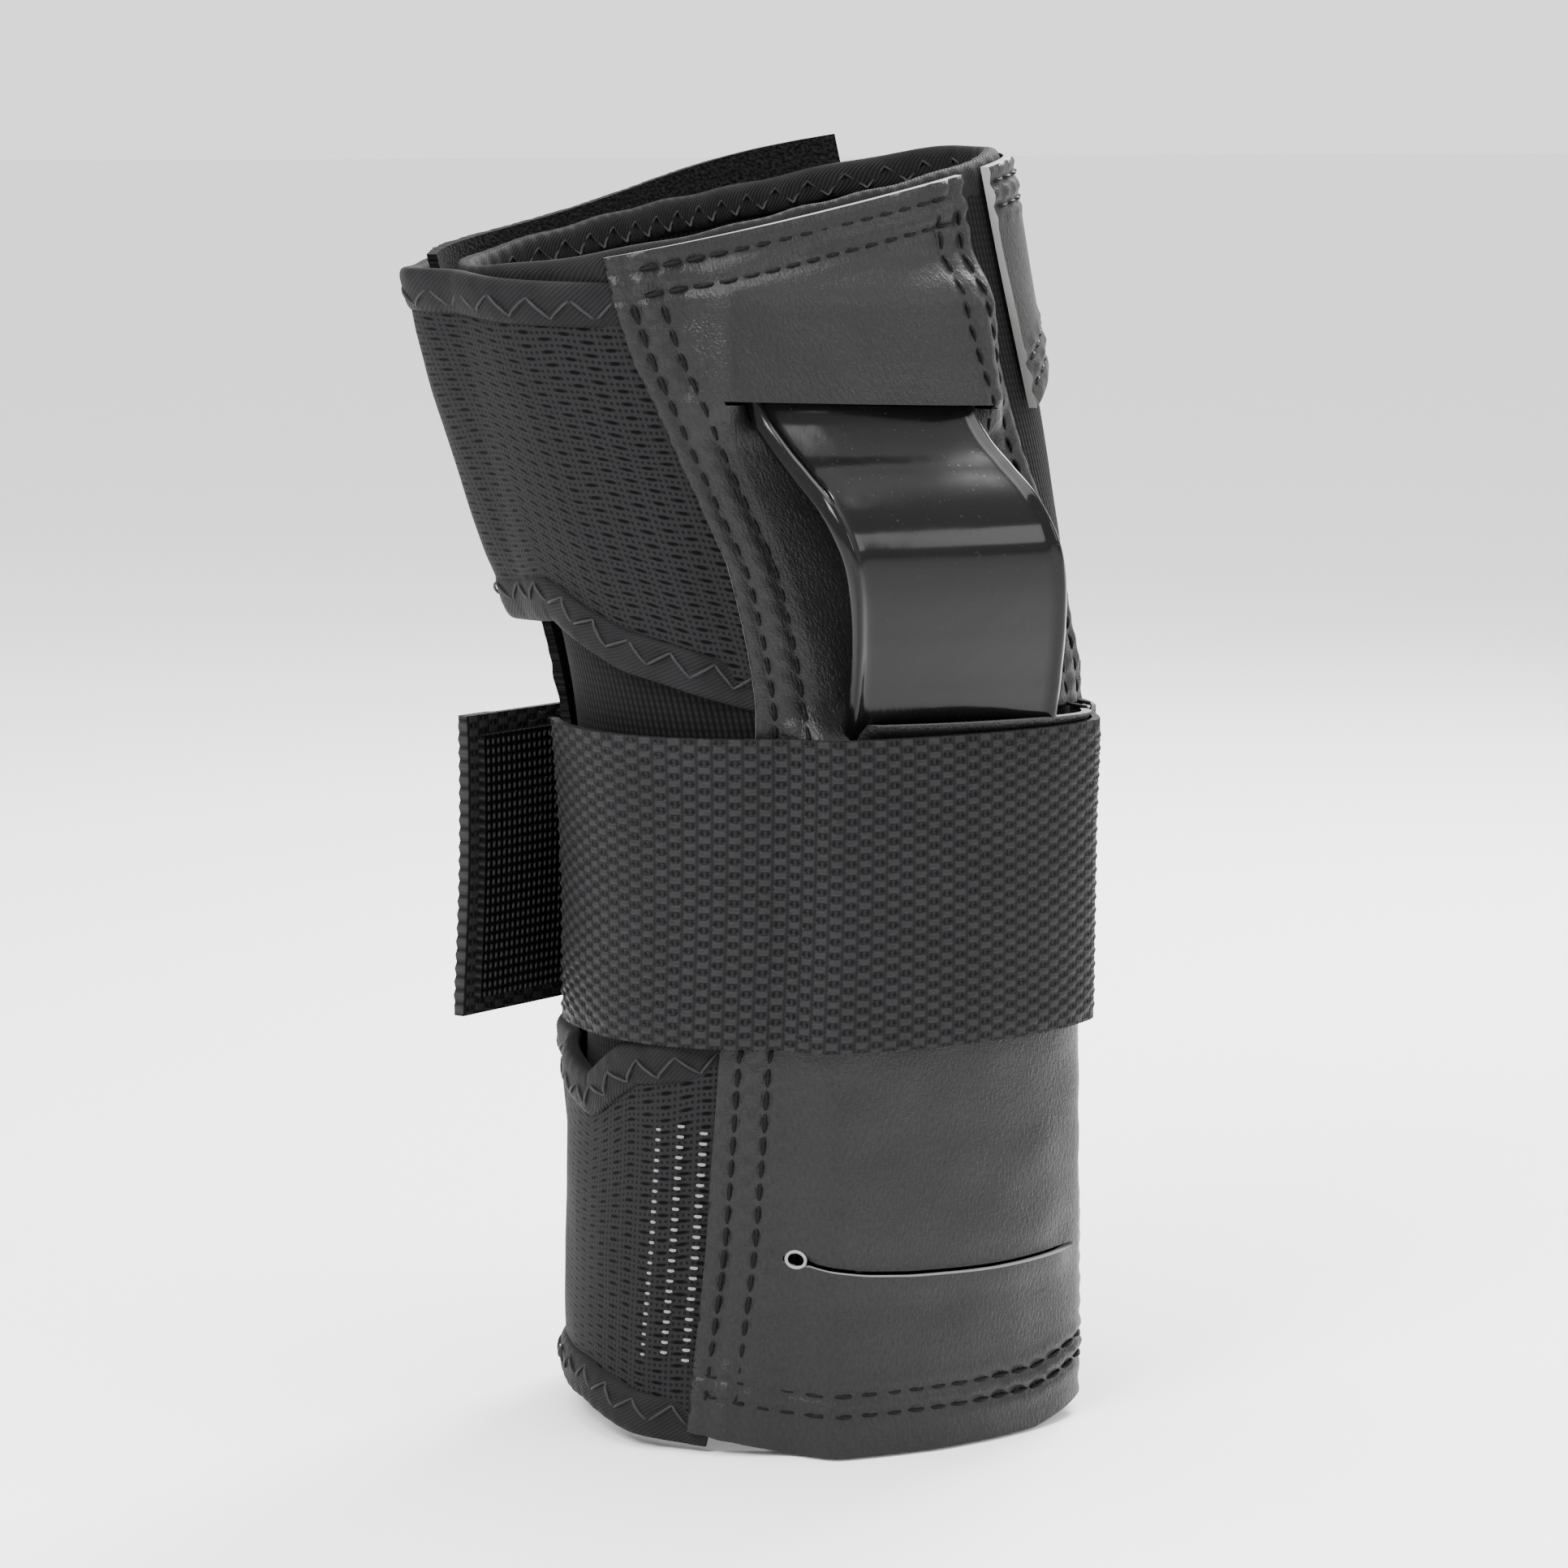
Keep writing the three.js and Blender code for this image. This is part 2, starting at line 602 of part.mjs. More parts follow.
for (const [name, side] of Object.entries(SIDES)) {
  add(`${name}_side_mesh`, 'mesh', sideMesh(side));
  add(`${name}_side_high_binding`, 'binding', sideBinding(side.high, 1));
  add(`${name}_side_low_binding`, 'binding', sideBinding(side.low, -1));
}

add('upper_flap_mesh', 'mesh', flapMesh(UPPER_MESH));
add('upper_flap_binding', 'binding', flapBinding(UPPER_FLAP, UPPER_MESH));
add('upper_flap_hook', 'hook', flapHook([back(-20, 164), back(-18, 198)], [back(4, 158), back(4, 196)]));
add('lower_flap_mesh', 'mesh', flapMesh(LOWER_MESH));
add('lower_flap_binding', 'binding', flapBinding(LOWER_FLAP, LOWER_MESH));
add('lower_flap_hook', 'hook', flapHook([back(-27, 18), back(-24, 54)], [back(-4, 17), back(-4, 55)]));

add('sewn_wrist_strap', 'webbing', sewnStrap());
add('wrist_strap_tab', 'webbing',
  strapPiece(STRAP_HINGE + FOLD_DEGREES, TAB_END, STRAP_LOW, STRAP_HIGH, 0, STRAP));
add('strap_hook_tape', 'hook',
  strapPiece(104, TAB_END - 3, STRAP_LOW + 3, STRAP_HIGH - 3, -HOOK - 0.3, HOOK));
add('strap_label', 'label', strapPiece(38, 160, STRAP_LOW + 8, STRAP_HIGH - 7, STRAP + 0.3, 0.6));

const box = new THREE.Box3().setFromObject(group);
const middle = box.getCenter(new THREE.Vector3());
group.position.set(-middle.x, -middle.y, -box.min.z);
group.updateMatrixWorld(true);

export default group;
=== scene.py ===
import math

import bmesh
import bpy
import numpy as np
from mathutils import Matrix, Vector


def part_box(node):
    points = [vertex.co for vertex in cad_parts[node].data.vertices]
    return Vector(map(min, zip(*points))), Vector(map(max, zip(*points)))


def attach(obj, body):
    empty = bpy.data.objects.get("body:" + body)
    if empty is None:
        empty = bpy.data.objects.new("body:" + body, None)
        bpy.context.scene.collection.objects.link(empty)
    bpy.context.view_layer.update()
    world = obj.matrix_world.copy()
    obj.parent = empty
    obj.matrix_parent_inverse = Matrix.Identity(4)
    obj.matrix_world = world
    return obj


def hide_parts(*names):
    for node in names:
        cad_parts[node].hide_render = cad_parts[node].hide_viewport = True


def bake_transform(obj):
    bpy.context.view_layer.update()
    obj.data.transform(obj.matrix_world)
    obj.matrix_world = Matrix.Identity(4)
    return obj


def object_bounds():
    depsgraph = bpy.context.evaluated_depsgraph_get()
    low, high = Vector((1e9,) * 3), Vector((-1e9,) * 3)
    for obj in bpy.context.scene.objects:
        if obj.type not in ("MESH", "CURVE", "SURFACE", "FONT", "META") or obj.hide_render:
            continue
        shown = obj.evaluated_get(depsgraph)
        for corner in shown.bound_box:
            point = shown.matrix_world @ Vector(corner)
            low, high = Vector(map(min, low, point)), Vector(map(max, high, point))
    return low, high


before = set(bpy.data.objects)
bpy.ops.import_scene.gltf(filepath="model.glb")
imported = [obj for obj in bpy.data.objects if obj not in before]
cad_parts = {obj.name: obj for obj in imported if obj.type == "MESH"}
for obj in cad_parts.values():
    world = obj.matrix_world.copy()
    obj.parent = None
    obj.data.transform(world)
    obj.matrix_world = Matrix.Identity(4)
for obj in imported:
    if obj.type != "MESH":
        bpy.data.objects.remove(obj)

CAD_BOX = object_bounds()
MM = 0.001

# ---- the sleeve's wall, in millimetres -------------------------------------------------------

# Centre and half widths of the sleeve's inner section: height, cx, cy, rx, ry.
SECTIONS = np.array([
    (0, 0, 0, 39.5, 30.5),
    (60, 0.5, 0, 39, 29.5),
    (100, 1.5, 0.5, 40, 28.5),
    (130, 1, 1, 42.5, 28.5),
    (160, -5, 2, 45, 28),
    (190, -12, 3, 47, 27),
    (220, -18, 4, 48, 26),
])
SQUARENESS = 2.3  # superellipse exponent of every section

SKIN_IN = 2.5  # where leather, mesh and webbing start, outside the wall
SKIN = 1.5  # how thick they are
PALM_LIFT = 4.5  # how much higher the leather runs over the splint
BACK_LIFT = 4.5  # how much higher the closures run over the loop panel
COVER = SKIN_IN + SKIN + 0.5
PANEL_IN = SKIN_IN + 2.5
PANEL = 2.0
HOOK = 1.1

STRAP = 1.8
STRAP_LOW, STRAP_HIGH = 69.0, 120.0
STRAP_MIDDLE = (STRAP_LOW + STRAP_HIGH) / 2
TAB_LEAVES = 134.0  # degrees, where the pull tab lifts off the sleeve
TAB_LENGTH = 34.0
WEAVE_X, WEAVE_Y = 2.45, 2.3  # the strap's weave: between its columns, and up one column

SPLINT = 2.5
SPLINT_HALF = 20.0
SPLINT_LONG = 220.0

BACK, PALM = 90.0, 270.0
RIM_HEIGHT, RIM_SLOPE, HAND_MIDDLE = 205.0, 0.2, -17.0
ROUND = 250.0  # about how long the tapes round the two ends are

# The forearm tape is centred on the section at its foot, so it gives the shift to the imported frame.
_low, _high = (np.array(corner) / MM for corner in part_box("forearm_rim_binding"))
SHIFT = np.array([*((_low + _high) / 2)[:2], 0.0])


def smooth(x, low, high):
    """0 up to low, 1 from high, and a smooth step between them."""
    t = np.clip((np.asarray(x, float) - low) / (high - low), 0, 1)
    return t * t * (3 - 2 * t)


def section(z):
    """The section's four values at each height, by the same cubic as the CAD."""
    z = np.clip(np.asarray(z, float), 0, SECTIONS[-1, 0])
    heights = SECTIONS[:, 0]
    i = np.clip(np.searchsorted(heights, z) - 1, 0, len(heights) - 2)
    before, after = np.maximum(i - 1, 0), np.minimum(i + 2, len(heights) - 1)
    span = heights[i + 1] - heights[i]
    t = (z - heights[i]) / span
    values = []
    for k in range(1, 5):
        v = SECTIONS[:, k]
        slope_a = (v[i + 1] - v[before]) / (heights[i + 1] - heights[before]) * span
        slope_b = (v[after] - v[i]) / (heights[after] - heights[i]) * span
        values.append(
            (2 * t**3 - 3 * t**2 + 1) * v[i] + (t**3 - 2 * t**2 + t) * slope_a
            + (3 * t**2 - 2 * t**3) * v[i + 1] + (t**3 - t**2) * slope_b
        )
    return values


def inner(angle, z):
    """Points on the sleeve's inner wall, in millimetres, before the shift."""
    angle, z = np.broadcast_arrays(np.asarray(angle, float), np.asarray(z, float))
    cx, cy, rx, ry = section(z)
    c, s = np.cos(np.radians(angle)), np.sin(np.radians(angle))
    r = (np.abs(c / rx) ** SQUARENESS + np.abs(s / ry) ** SQUARENESS) ** (-1 / SQUARENESS)
    return np.stack([cx + r * c, cy + r * s, z], axis=-1)


def unit(v):
    return v / np.maximum(np.linalg.norm(v, axis=-1, keepdims=True), 1e-9)


def tangent(angle, z):
    return unit(inner(np.asarray(angle) + 0.05, z) - inner(np.asarray(angle) - 0.05, z))


def normal(angle, z):
    t = tangent(angle, z)
    return np.stack([t[..., 1], -t[..., 0], np.zeros_like(t[..., 0])], axis=-1)


def wall(angle, z, off):
    """Points a distance outside the inner wall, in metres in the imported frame."""
    points = inner(angle, z) + normal(angle, z) * np.asarray(off, float)[..., None] + SHIFT
    return points * MM


# Distance round the inner wall from the middle of the back, for each height and angle.
_TABLE_STEP, _TABLE_TOP = 10.0, 220.0
_TABLE_Z = np.arange(0, _TABLE_TOP + 1, _TABLE_STEP)
_TABLE_ANGLE = np.arange(-280, 461, 1.0)
_ring = inner(_TABLE_ANGLE[None, :], _TABLE_Z[:, None])
_steps = np.linalg.norm(np.diff(_ring, axis=1), axis=-1)
_TABLE_S = np.concatenate([np.zeros((len(_TABLE_Z), 1)), np.cumsum(_steps, axis=1)], axis=1)
_TABLE_S -= _TABLE_S[:, [int(BACK - _TABLE_ANGLE[0])]]


def _at_height(table, z):
    """The table's row at a height, between its two nearest rows."""
    share = min(max(z, 0), _TABLE_TOP) / _TABLE_STEP
    i = min(int(share), len(_TABLE_Z) - 2)
    return table[i] + (table[i + 1] - table[i]) * (share - i)


def angle_at(s, z, reference=BACK):
    """The angle s millimetres round the wall from a reference angle, at each height."""
    s, z = np.broadcast_arrays(np.asarray(s, float), np.asarray(z, float))
    out = np.empty(s.shape)
    for i in np.ndindex(s.shape):
        row = _at_height(_TABLE_S, z[i])
        out[i] = np.interp(s[i] + np.interp(reference, _TABLE_ANGLE, row), row, _TABLE_ANGLE)
    return out


def s_at(angle, z):
    """Millimetres round the wall from the middle of the back."""
    angle, z = np.broadcast_arrays(np.asarray(angle, float), np.asarray(z, float))
    out = np.empty(angle.shape)
    for i in np.ndindex(angle.shape):
        out[i] = np.interp(angle[i], _TABLE_ANGLE, _at_height(_TABLE_S, z[i]))
    return out


def rim(angle):
    """The height of the hand opening's edge."""
    return RIM_HEIGHT + RIM_SLOPE * (inner(angle, RIM_HEIGHT)[..., 0] - HAND_MIDDLE)


def cuff(angle):
    """The height of the forearm opening's edge, which rises at the two sides."""
    return np.maximum(0, 8 * (np.cos(np.radians(angle)) ** 2 - 0.35))


def splint_centre(z):
    """How far to the thumb's side the splint's middle line runs."""
    return 8 - 16 * smooth(z, 110, 182)


def over_splint(angle, z):
    """1 where the splint's hidden ends push the leather out."""
    on_palm = smooth(-np.sin(np.radians(angle)), 0.05, 0.3)
    away = np.abs(inner(angle, z)[..., 0] - splint_centre(z))
    return on_palm * (1 - smooth(away, SPLINT_HALF + 1.5, SPLINT_HALF + 9))


def panel_edge(z):
    """How far round from the middle of the back the loop panel reaches, at the little finger's side."""
    return 17 + 33 * np.asarray(z, float) / 198


def over_panel(angle, z):
    """1 where the loop panel lies under a closure."""
    low = angle_at(-37, z)
    high = angle_at(panel_edge(z), z)
    return smooth(angle, low - 11, low - 2) * (1 - smooth(angle, high + 2, high + 14))


def cover(angle, z):
    """Where a closure lying over the sleeve starts, outside the wall."""
    return COVER + BACK_LIFT * over_panel(angle, z)


def back(s, z):
    """(angle, z) of a spot s millimetres round from the middle of the back."""
    return float(angle_at(s, z)), z


def from_palm(s, z):
    """(s, z) measured from the middle of the back, for a spot measured from the palm's."""
    return float(s_at(PALM, z)) + s, z


def on_line(spots, t):
    """Points on an open line of spots, each stretch of it taking the same share of t."""
    spots = np.asarray(spots, float)
    at = np.clip(t, 0, 1) * (len(spots) - 1)
    steps = np.arange(len(spots))
    return np.stack([np.interp(at, steps, spots[:, k]) for k in (0, 1)], axis=-1)


def ripple(a, b, seed, size, count=14):
    """Soft, seeded unevenness of about -1 to 1 over two coordinates in millimetres."""
    rng = np.random.default_rng(seed)
    total = 0
    for _ in range(count):
        turn, phase = rng.uniform(0, 2 * math.pi, 2)
        length = size * rng.uniform(0.6, 1.8)
        across = a * math.cos(turn) + b * math.sin(turn)
        total = total + np.sin(across * 2 * math.pi / length + phase)
    return total / math.sqrt(count)


# ---- the strap's path ------------------------------------------------------------------------

def strap_off(angle):
    """Where the strap starts outside the wall. It keeps the lift it needs at its middle height."""
    angle = np.asarray(angle)
    angle = np.where(angle < -180, angle + 360, angle)
    return cover(angle, STRAP_MIDDLE) + 5.0 * over_splint(angle, STRAP_MIDDLE) + 0.4


STRAP_START, STRAP_SHOWS = -194.0, -170.0  # degrees: a short piece of its own starts the strap
_strap_angles = np.linspace(STRAP_START, TAB_LEAVES, 1313)
_strap_points = wall(_strap_angles, STRAP_MIDDLE, strap_off(_strap_angles) + STRAP / 2) / MM
STRAP_FAR = np.concatenate([[0], np.cumsum(np.linalg.norm(np.diff(_strap_points, axis=0), axis=1))])
STRAP_END = STRAP_FAR[-1] + TAB_LENGTH


def strap_x(angle):
    """Millimetres along the strap from its sewn start."""
    return float(np.interp(angle, _strap_angles, STRAP_FAR))


def strap_point(x, z, off):
    """Points on the strap, x along it, at a height and a distance outside its inner face."""
    x, z, off = np.broadcast_arrays(x, z, off)
    angle = np.interp(x, STRAP_FAR, _strap_angles)
    past = np.maximum(x - STRAP_FAR[-1], 0)[..., None] * MM
    return wall(angle, z, strap_off(angle) + off) + past * tangent(TAB_LEAVES, STRAP_MIDDLE)


LABEL_LOW, LABEL_HIGH = STRAP_LOW + 8, STRAP_HIGH - 7
LABEL_START = strap_x(38)
LABEL_LENGTH = STRAP_END - 10 - LABEL_START
LABEL_BORDER = 5.2
HEM = 8.2  # how far the tab's end is folded back


# ---- mesh building ---------------------------------------------------------------------------

SHARP = math.radians(70)  # edges that turn further than this are drawn sharp


def new_mesh(name, points, faces, uvs, materials, shade=None, kinds=None):
    """A mesh object from arrays. Points are in metres, uvs and the painted shade are given for each point."""
    mesh = bpy.data.meshes.new(name)
    mesh.from_pydata(np.asarray(points, float).tolist(), [], faces)
    for material in materials:
        mesh.materials.append(material)
    if kinds is not None:
        mesh.polygons.foreach_set("material_index", np.asarray(kinds, np.int32))
    loops = np.empty(len(mesh.loops), np.int32)
    mesh.loops.foreach_get("vertex_index", loops)
    layer = mesh.uv_layers.new(name="cloth_mm")
    layer.data.foreach_set("uv", np.asarray(uvs, np.float32)[loops].ravel())
    values = np.ones(len(points), np.float32) if shade is None else np.asarray(shade, np.float32)
    mesh.attributes.new("shade", "FLOAT", "POINT").data.foreach_set("value", values)
    mesh.polygons.foreach_set("use_smooth", np.ones(len(mesh.polygons), bool))
    mesh.validate()
    mesh.set_sharp_from_angle(angle=SHARP)
    obj = bpy.data.objects.new(name, mesh)
    bpy.context.scene.collection.objects.link(obj)
    return obj


def grid_faces(rows, columns, start=0, flip=False, closed=False):
    """Quads of a grid of points, as an array with the four indices of cell (i, j) at [i, j]."""
    i = np.arange(rows if closed else rows - 1)[:, None]
    j = np.arange(columns - 1)[None, :]
    a = start + i * columns + j
    b = start + ((i + 1) % rows) * columns + j
    quads = np.stack([a, b, b + 1, a + 1], axis=-1)
    return quads[..., ::-1] if flip else quads


def slab(name, outer, inner_points, uv, materials, keep=None, closed=False):
    """A sheet with thickness from two grids of points. keep says which cells are cloth, so that
    the sheet may have slits and holes. Every open edge gets a wall, of the last material."""
    rows, columns = outer.shape[:2]
    count = rows * columns
    top = grid_faces(rows, columns, closed=closed)
    if keep is None:
        keep = np.ones(top.shape[:2], bool)
    under = grid_faces(rows, columns, start=count, flip=True, closed=closed)
    faces = [*top[keep], *under[keep]]
    kinds = [0] * (2 * int(keep.sum()))
    wrapped = np.vstack([keep, keep[:1]]) if closed else keep
    walls = []
    cells_i, cells_j = np.nonzero(keep)
    for i, j in zip(cells_i, cells_j):
        a, b, c, d = top[i, j]
        before = keep[i - 1, j] if i > 0 or closed else False
        after = wrapped[i + 1, j] if i + 1 < len(wrapped) else False
        if not before:
            walls.append((a, d))
        if not after:
            walls.append((c, b))
        if j == 0 or not keep[i, j - 1]:
            walls.append((b, a))
        if j == keep.shape[1] - 1 or not keep[i, j + 1]:
            walls.append((d, c))
    faces += [(p, q, q + count, p + count) for p, q in walls]
    kinds += [len(materials) - 1] * len(walls)
    points = np.concatenate([outer.reshape(-1, 3), inner_points.reshape(-1, 3)])
    uvs = np.concatenate([uv.reshape(-1, 2)] * 2)
    used = np.unique(np.concatenate([np.asarray(f) for f in faces]))
    index = np.full(len(points), -1)
    index[used] = np.arange(len(used))
    faces = [[int(index[p]) for p in f] for f in faces]
    obj = new_mesh(name, points[used], faces, uvs[used], materials, kinds=kinds)
    face_out(obj)
    return obj


def face_out(obj):
    """Turn a closed mesh so that its faces point out."""
    work = bmesh.new()
    work.from_mesh(obj.data)
    if work.calc_volume(signed=True) < 0:
        bmesh.ops.reverse_faces(work, faces=work.faces)
        work.to_mesh(obj.data)
    work.free()


def strands(name, lines, normals, radius, material, sides=6, taper=0.75):
    """Threads: each row of lines is one strand, as points in metres with a normal for each."""
    count, steps = lines.shape[:2]
    along = unit(np.gradient(lines, axis=1))
    side = unit(np.cross(along, normals))
    up = unit(np.cross(side, along))
    t = np.linspace(-1, 1, steps)
    thin = (taper + (1 - taper) * (1 - t**4)) * radius
    turn = np.arange(sides) * 2 * math.pi / sides
    ring = np.cos(turn)[:, None] * side[:, :, None] + np.sin(turn)[:, None] * up[:, :, None]
    points = (lines[:, :, None] + ring * thin[None, :, None, None]).reshape(-1, 3)
    faces = []
    for k in range(count):
        start = k * steps * sides
        for i in range(steps - 1):
            for j in range(sides):
                a = start + i * sides + j
                b = start + i * sides + (j + 1) % sides
                faces.append((a, b, b + sides, a + sides))
        faces.append([start + j for j in reversed(range(sides))])
        faces.append([start + (steps - 1) * sides + j for j in range(sides)])
    along_uv = np.tile(np.repeat(np.arange(steps), sides), count)
    round_uv = np.tile(np.arange(sides), count * steps)
    return new_mesh(name, points, faces, np.stack([along_uv, round_uv], 1), [material])


def stitches(name, ends, off, material, radius=0.3, rise=0.25, sink=0.3):
    """Stitches between pairs of needle holes: ends[k] is ((angle, z), (angle, z))."""
    ends = np.asarray(ends, float)
    t = np.linspace(0, 1, 6)
    spots = ends[:, None, 0] * (1 - t)[None, :, None] + ends[:, None, 1] * t[None, :, None]
    height = off(spots[..., 0], spots[..., 1]) - sink + (rise + sink) * np.sin(math.pi * t) ** 0.6
    lines = wall(spots[..., 0], spots[..., 1], height)
    return strands(name, lines, normal(spots[..., 0], spots[..., 1]), radius * MM, material)


# ---- lines on the sleeve ---------------------------------------------------------------------

def rounded(corners, radius, steps=7):
    """An open line through (s, z) corners, with each inner corner cut by a small curve."""
    corners = [np.array(c, float) for c in corners]
    out = [corners[0]]
    for before, here, after in zip(corners, corners[1:], corners[2:]):
        a, b = unit(before - here), unit(after - here)
        for t in np.linspace(0, 1, steps):
            out.append(here + radius * (a * (1 - t) ** 2 + b * t**2))
    return np.array([*out, corners[-1]])


def even(line, step):
    """The (s, z) line again, with points a step apart, and how far along each one is."""
    line = np.asarray(line, float)
    far = np.concatenate([[0], np.cumsum(np.linalg.norm(np.diff(line, axis=0), axis=1))])
    count = max(2, int(round(far[-1] / step)) + 1)
    at = np.linspace(0, far[-1], count)
    points = np.stack([np.interp(at, far, line[:, k]) for k in (0, 1)], axis=1)
    return points, at


def beside(points, distance):
    """The line moved sideways, to the left of its direction."""
    along = unit(np.gradient(points, axis=0))
    return points + distance * np.stack([-along[:, 1], along[:, 0]], axis=1)


def to_angles(points):
    """(angle, z) for each (s, z) point."""
    return np.stack([angle_at(points[:, 0], points[:, 1]), points[:, 1]], axis=1)


def row_of_stitches(line, pitch, share=0.72):
    """Needle holes for running stitches along an (s, z) line."""
    points, _ = even(line, pitch)
    starts, ends = points[:-1], points[:-1] + (points[1:] - points[:-1]) * share
    return list(zip(to_angles(starts), to_angles(ends)))


def zigzag(line, pitch, width):
    """Needle holes for a zigzag along an (s, z) line."""
    points, _ = even(line, pitch / 2)
    left, right = beside(points, width / 2), beside(points, -width / 2)
    zig = np.where((np.arange(len(points)) % 2 == 0)[:, None], left, right)
    angles = to_angles(zig)
    return list(zip(angles[:-1], angles[1:]))


# ---- materials -------------------------------------------------------------------------------

class Paint:
    """A procedural material being built: nodes are added by short calls that link as they go."""

    def __init__(self, name, color, rough, sheen=0.0, shine=0.5):
        self.material = bpy.data.materials.new(name)
        self.material.use_nodes = True
        self.nodes = self.material.node_tree.nodes
        self.links = self.material.node_tree.links
        self.shader = self.nodes["Principled BSDF"]
        self.set(self.shader, "Base Color", (*color, 1))
        self.set(self.shader, "Roughness", rough)
        self.set(self.shader, "Sheen Weight", sheen)
        self.set(self.shader, "Sheen Roughness", 0.4)
        self.set(self.shader, "Specular IOR Level", shine)
        self.relief = None

    def set(self, node, socket, value):
        if isinstance(value, bpy.types.NodeSocket):
            self.links.new(value, node.inputs[socket])
        else:
            node.inputs[socket].default_value = value

    def uv(self):
        return self.nodes.new("ShaderNodeUVMap").outputs["UV"]

    def space(self):
        """Object coordinates in millimetres."""
        node = self.nodes.new("ShaderNodeTexCoord")
        scale = self.nodes.new("ShaderNodeVectorMath")
        scale.operation = "SCALE"
        scale.inputs["Scale"].default_value = 1000
        self.links.new(node.outputs["Object"], scale.inputs[0])
        return scale.outputs["Vector"]

    def part(self, vector, axis):
        """One coordinate of a vector."""
        node = self.nodes.new("ShaderNodeSeparateXYZ")
        self.links.new(vector, node.inputs[0])
        return node.outputs[axis]

    def math(self, kind, a, b=0.0):
        node = self.nodes.new("ShaderNodeMath")
        node.operation = kind
        self.set(node, 0, a)
        self.set(node, 1, b)
        return node.outputs[0]

    def wave(self, x, period, shift=0.0):
        """A smooth wave from 0 to 1 with the given period."""
        turn = self.math("MULTIPLY_ADD", x, 2 * math.pi / period)
        turn.node.inputs[2].default_value = shift
        swing = self.math("SINE", turn)
        half = self.math("MULTIPLY_ADD", swing, 0.5)
        half.node.inputs[2].default_value = 0.5
        return half

    def noise(self, vector, scale, detail, stretch=None):
        """Soft noise. stretch is a turn and a scale for each axis, for noise with a direction."""
        if stretch:
            node = self.nodes.new("ShaderNodeMapping")
            self.links.new(vector, node.inputs["Vector"])
            node.inputs["Rotation"].default_value = stretch[0]
            node.inputs["Scale"].default_value = stretch[1]
            vector = node.outputs["Vector"]
        node = self.nodes.new("ShaderNodeTexNoise")
        self.links.new(vector, node.inputs["Vector"])
        node.inputs["Scale"].default_value = scale
        node.inputs["Detail"].default_value = detail
        return node.outputs["Fac"]

    def ramp(self, value, low, high, to_low=0.0, to_high=1.0):
        """The value, carried from the range low to high onto the other range, and held there."""
        node = self.nodes.new("ShaderNodeMapRange")
        self.set(node, "Value", value)
        node.inputs["From Min"].default_value = low
        node.inputs["From Max"].default_value = high
        node.inputs["To Min"].default_value = to_low
        node.inputs["To Max"].default_value = to_high
        return node.outputs["Result"]

    def mix(self, share, a, b):
        """The color between a, at 0, and b, at 1."""
        node = self.nodes.new("ShaderNodeMix")
        node.data_type = "RGBA"
        self.set(node, 0, share)
        self.set(node, 6, (*a, 1) if isinstance(a, tuple) else a)
        self.set(node, 7, (*b, 1) if isinstance(b, tuple) else b)
        return node.outputs[2]

    def color(self, value):
        self.set(self.shader, "Base Color", value)

    def rough(self, value):
        self.set(self.shader, "Roughness", value)

    def bump(self, height, strength, millimetres):
        """Adds relief, on top of any already there."""
        node = self.nodes.new("ShaderNodeBump")
        node.inputs["Strength"].default_value = strength
        node.inputs["Distance"].default_value = millimetres * MM
        self.links.new(height, node.inputs["Height"])
        if self.relief:
            self.links.new(self.relief, node.inputs["Normal"])
        self.relief = node.outputs["Normal"]
        self.links.new(self.relief, self.shader.inputs["Normal"])

    def shade(self):
        """Painted shade stored on the mesh: darker in its hollows."""
        node = self.nodes.new("ShaderNodeAttribute")
        node.attribute_name = "shade"
        return node.outputs["Fac"]

    def darker(self, color, share, value):
        """The color, multiplied down to share of itself where value is 0."""
        low = tuple(c * share for c in color)
        return self.mix(value, low, color)


def leather_paint():
    """Grained leather: fine slanted ridges that fade in and out, and dark hollows."""
    color = (0.0046, 0.0046, 0.005)
    p = Paint("black leather", color, 0.4, shine=0.2)
    uv = p.uv()
    ridges = p.noise(uv, 2.1, 2, ((0, 0, 0.75), (1, 0.4, 1)))
    pebbles = p.noise(uv, 2.6, 1)
    broad = p.noise(uv, 0.05, 3)
    grain = p.math("ADD", p.math("MULTIPLY", ridges, 0.65), p.math("MULTIPLY", pebbles, 0.35))
    # The grain's dark end is also darkened by the mesh's painted shade attribute, which is 1 on the leather
    # meshes.
    p.color(p.mix(p.ramp(grain, 0.38, 0.66), p.darker(color, 0.4, p.shade()), (0.008, 0.008, 0.0086)))
    p.rough(p.math("ADD", p.ramp(grain, 0.35, 0.65, 0.48, 0.36), p.ramp(broad, 0.3, 0.7, -0.05, 0.05)))
    p.bump(broad, 0.35, 1.4)
    p.bump(grain, 1.0, 0.26)
    return p.material


def cut_paint():
    p = Paint("cut leather edge", (0.2, 0.195, 0.19), 0.6, shine=0.2)
    p.bump(p.noise(p.space(), 3.0, 2), 0.5, 0.15)
    return p.material


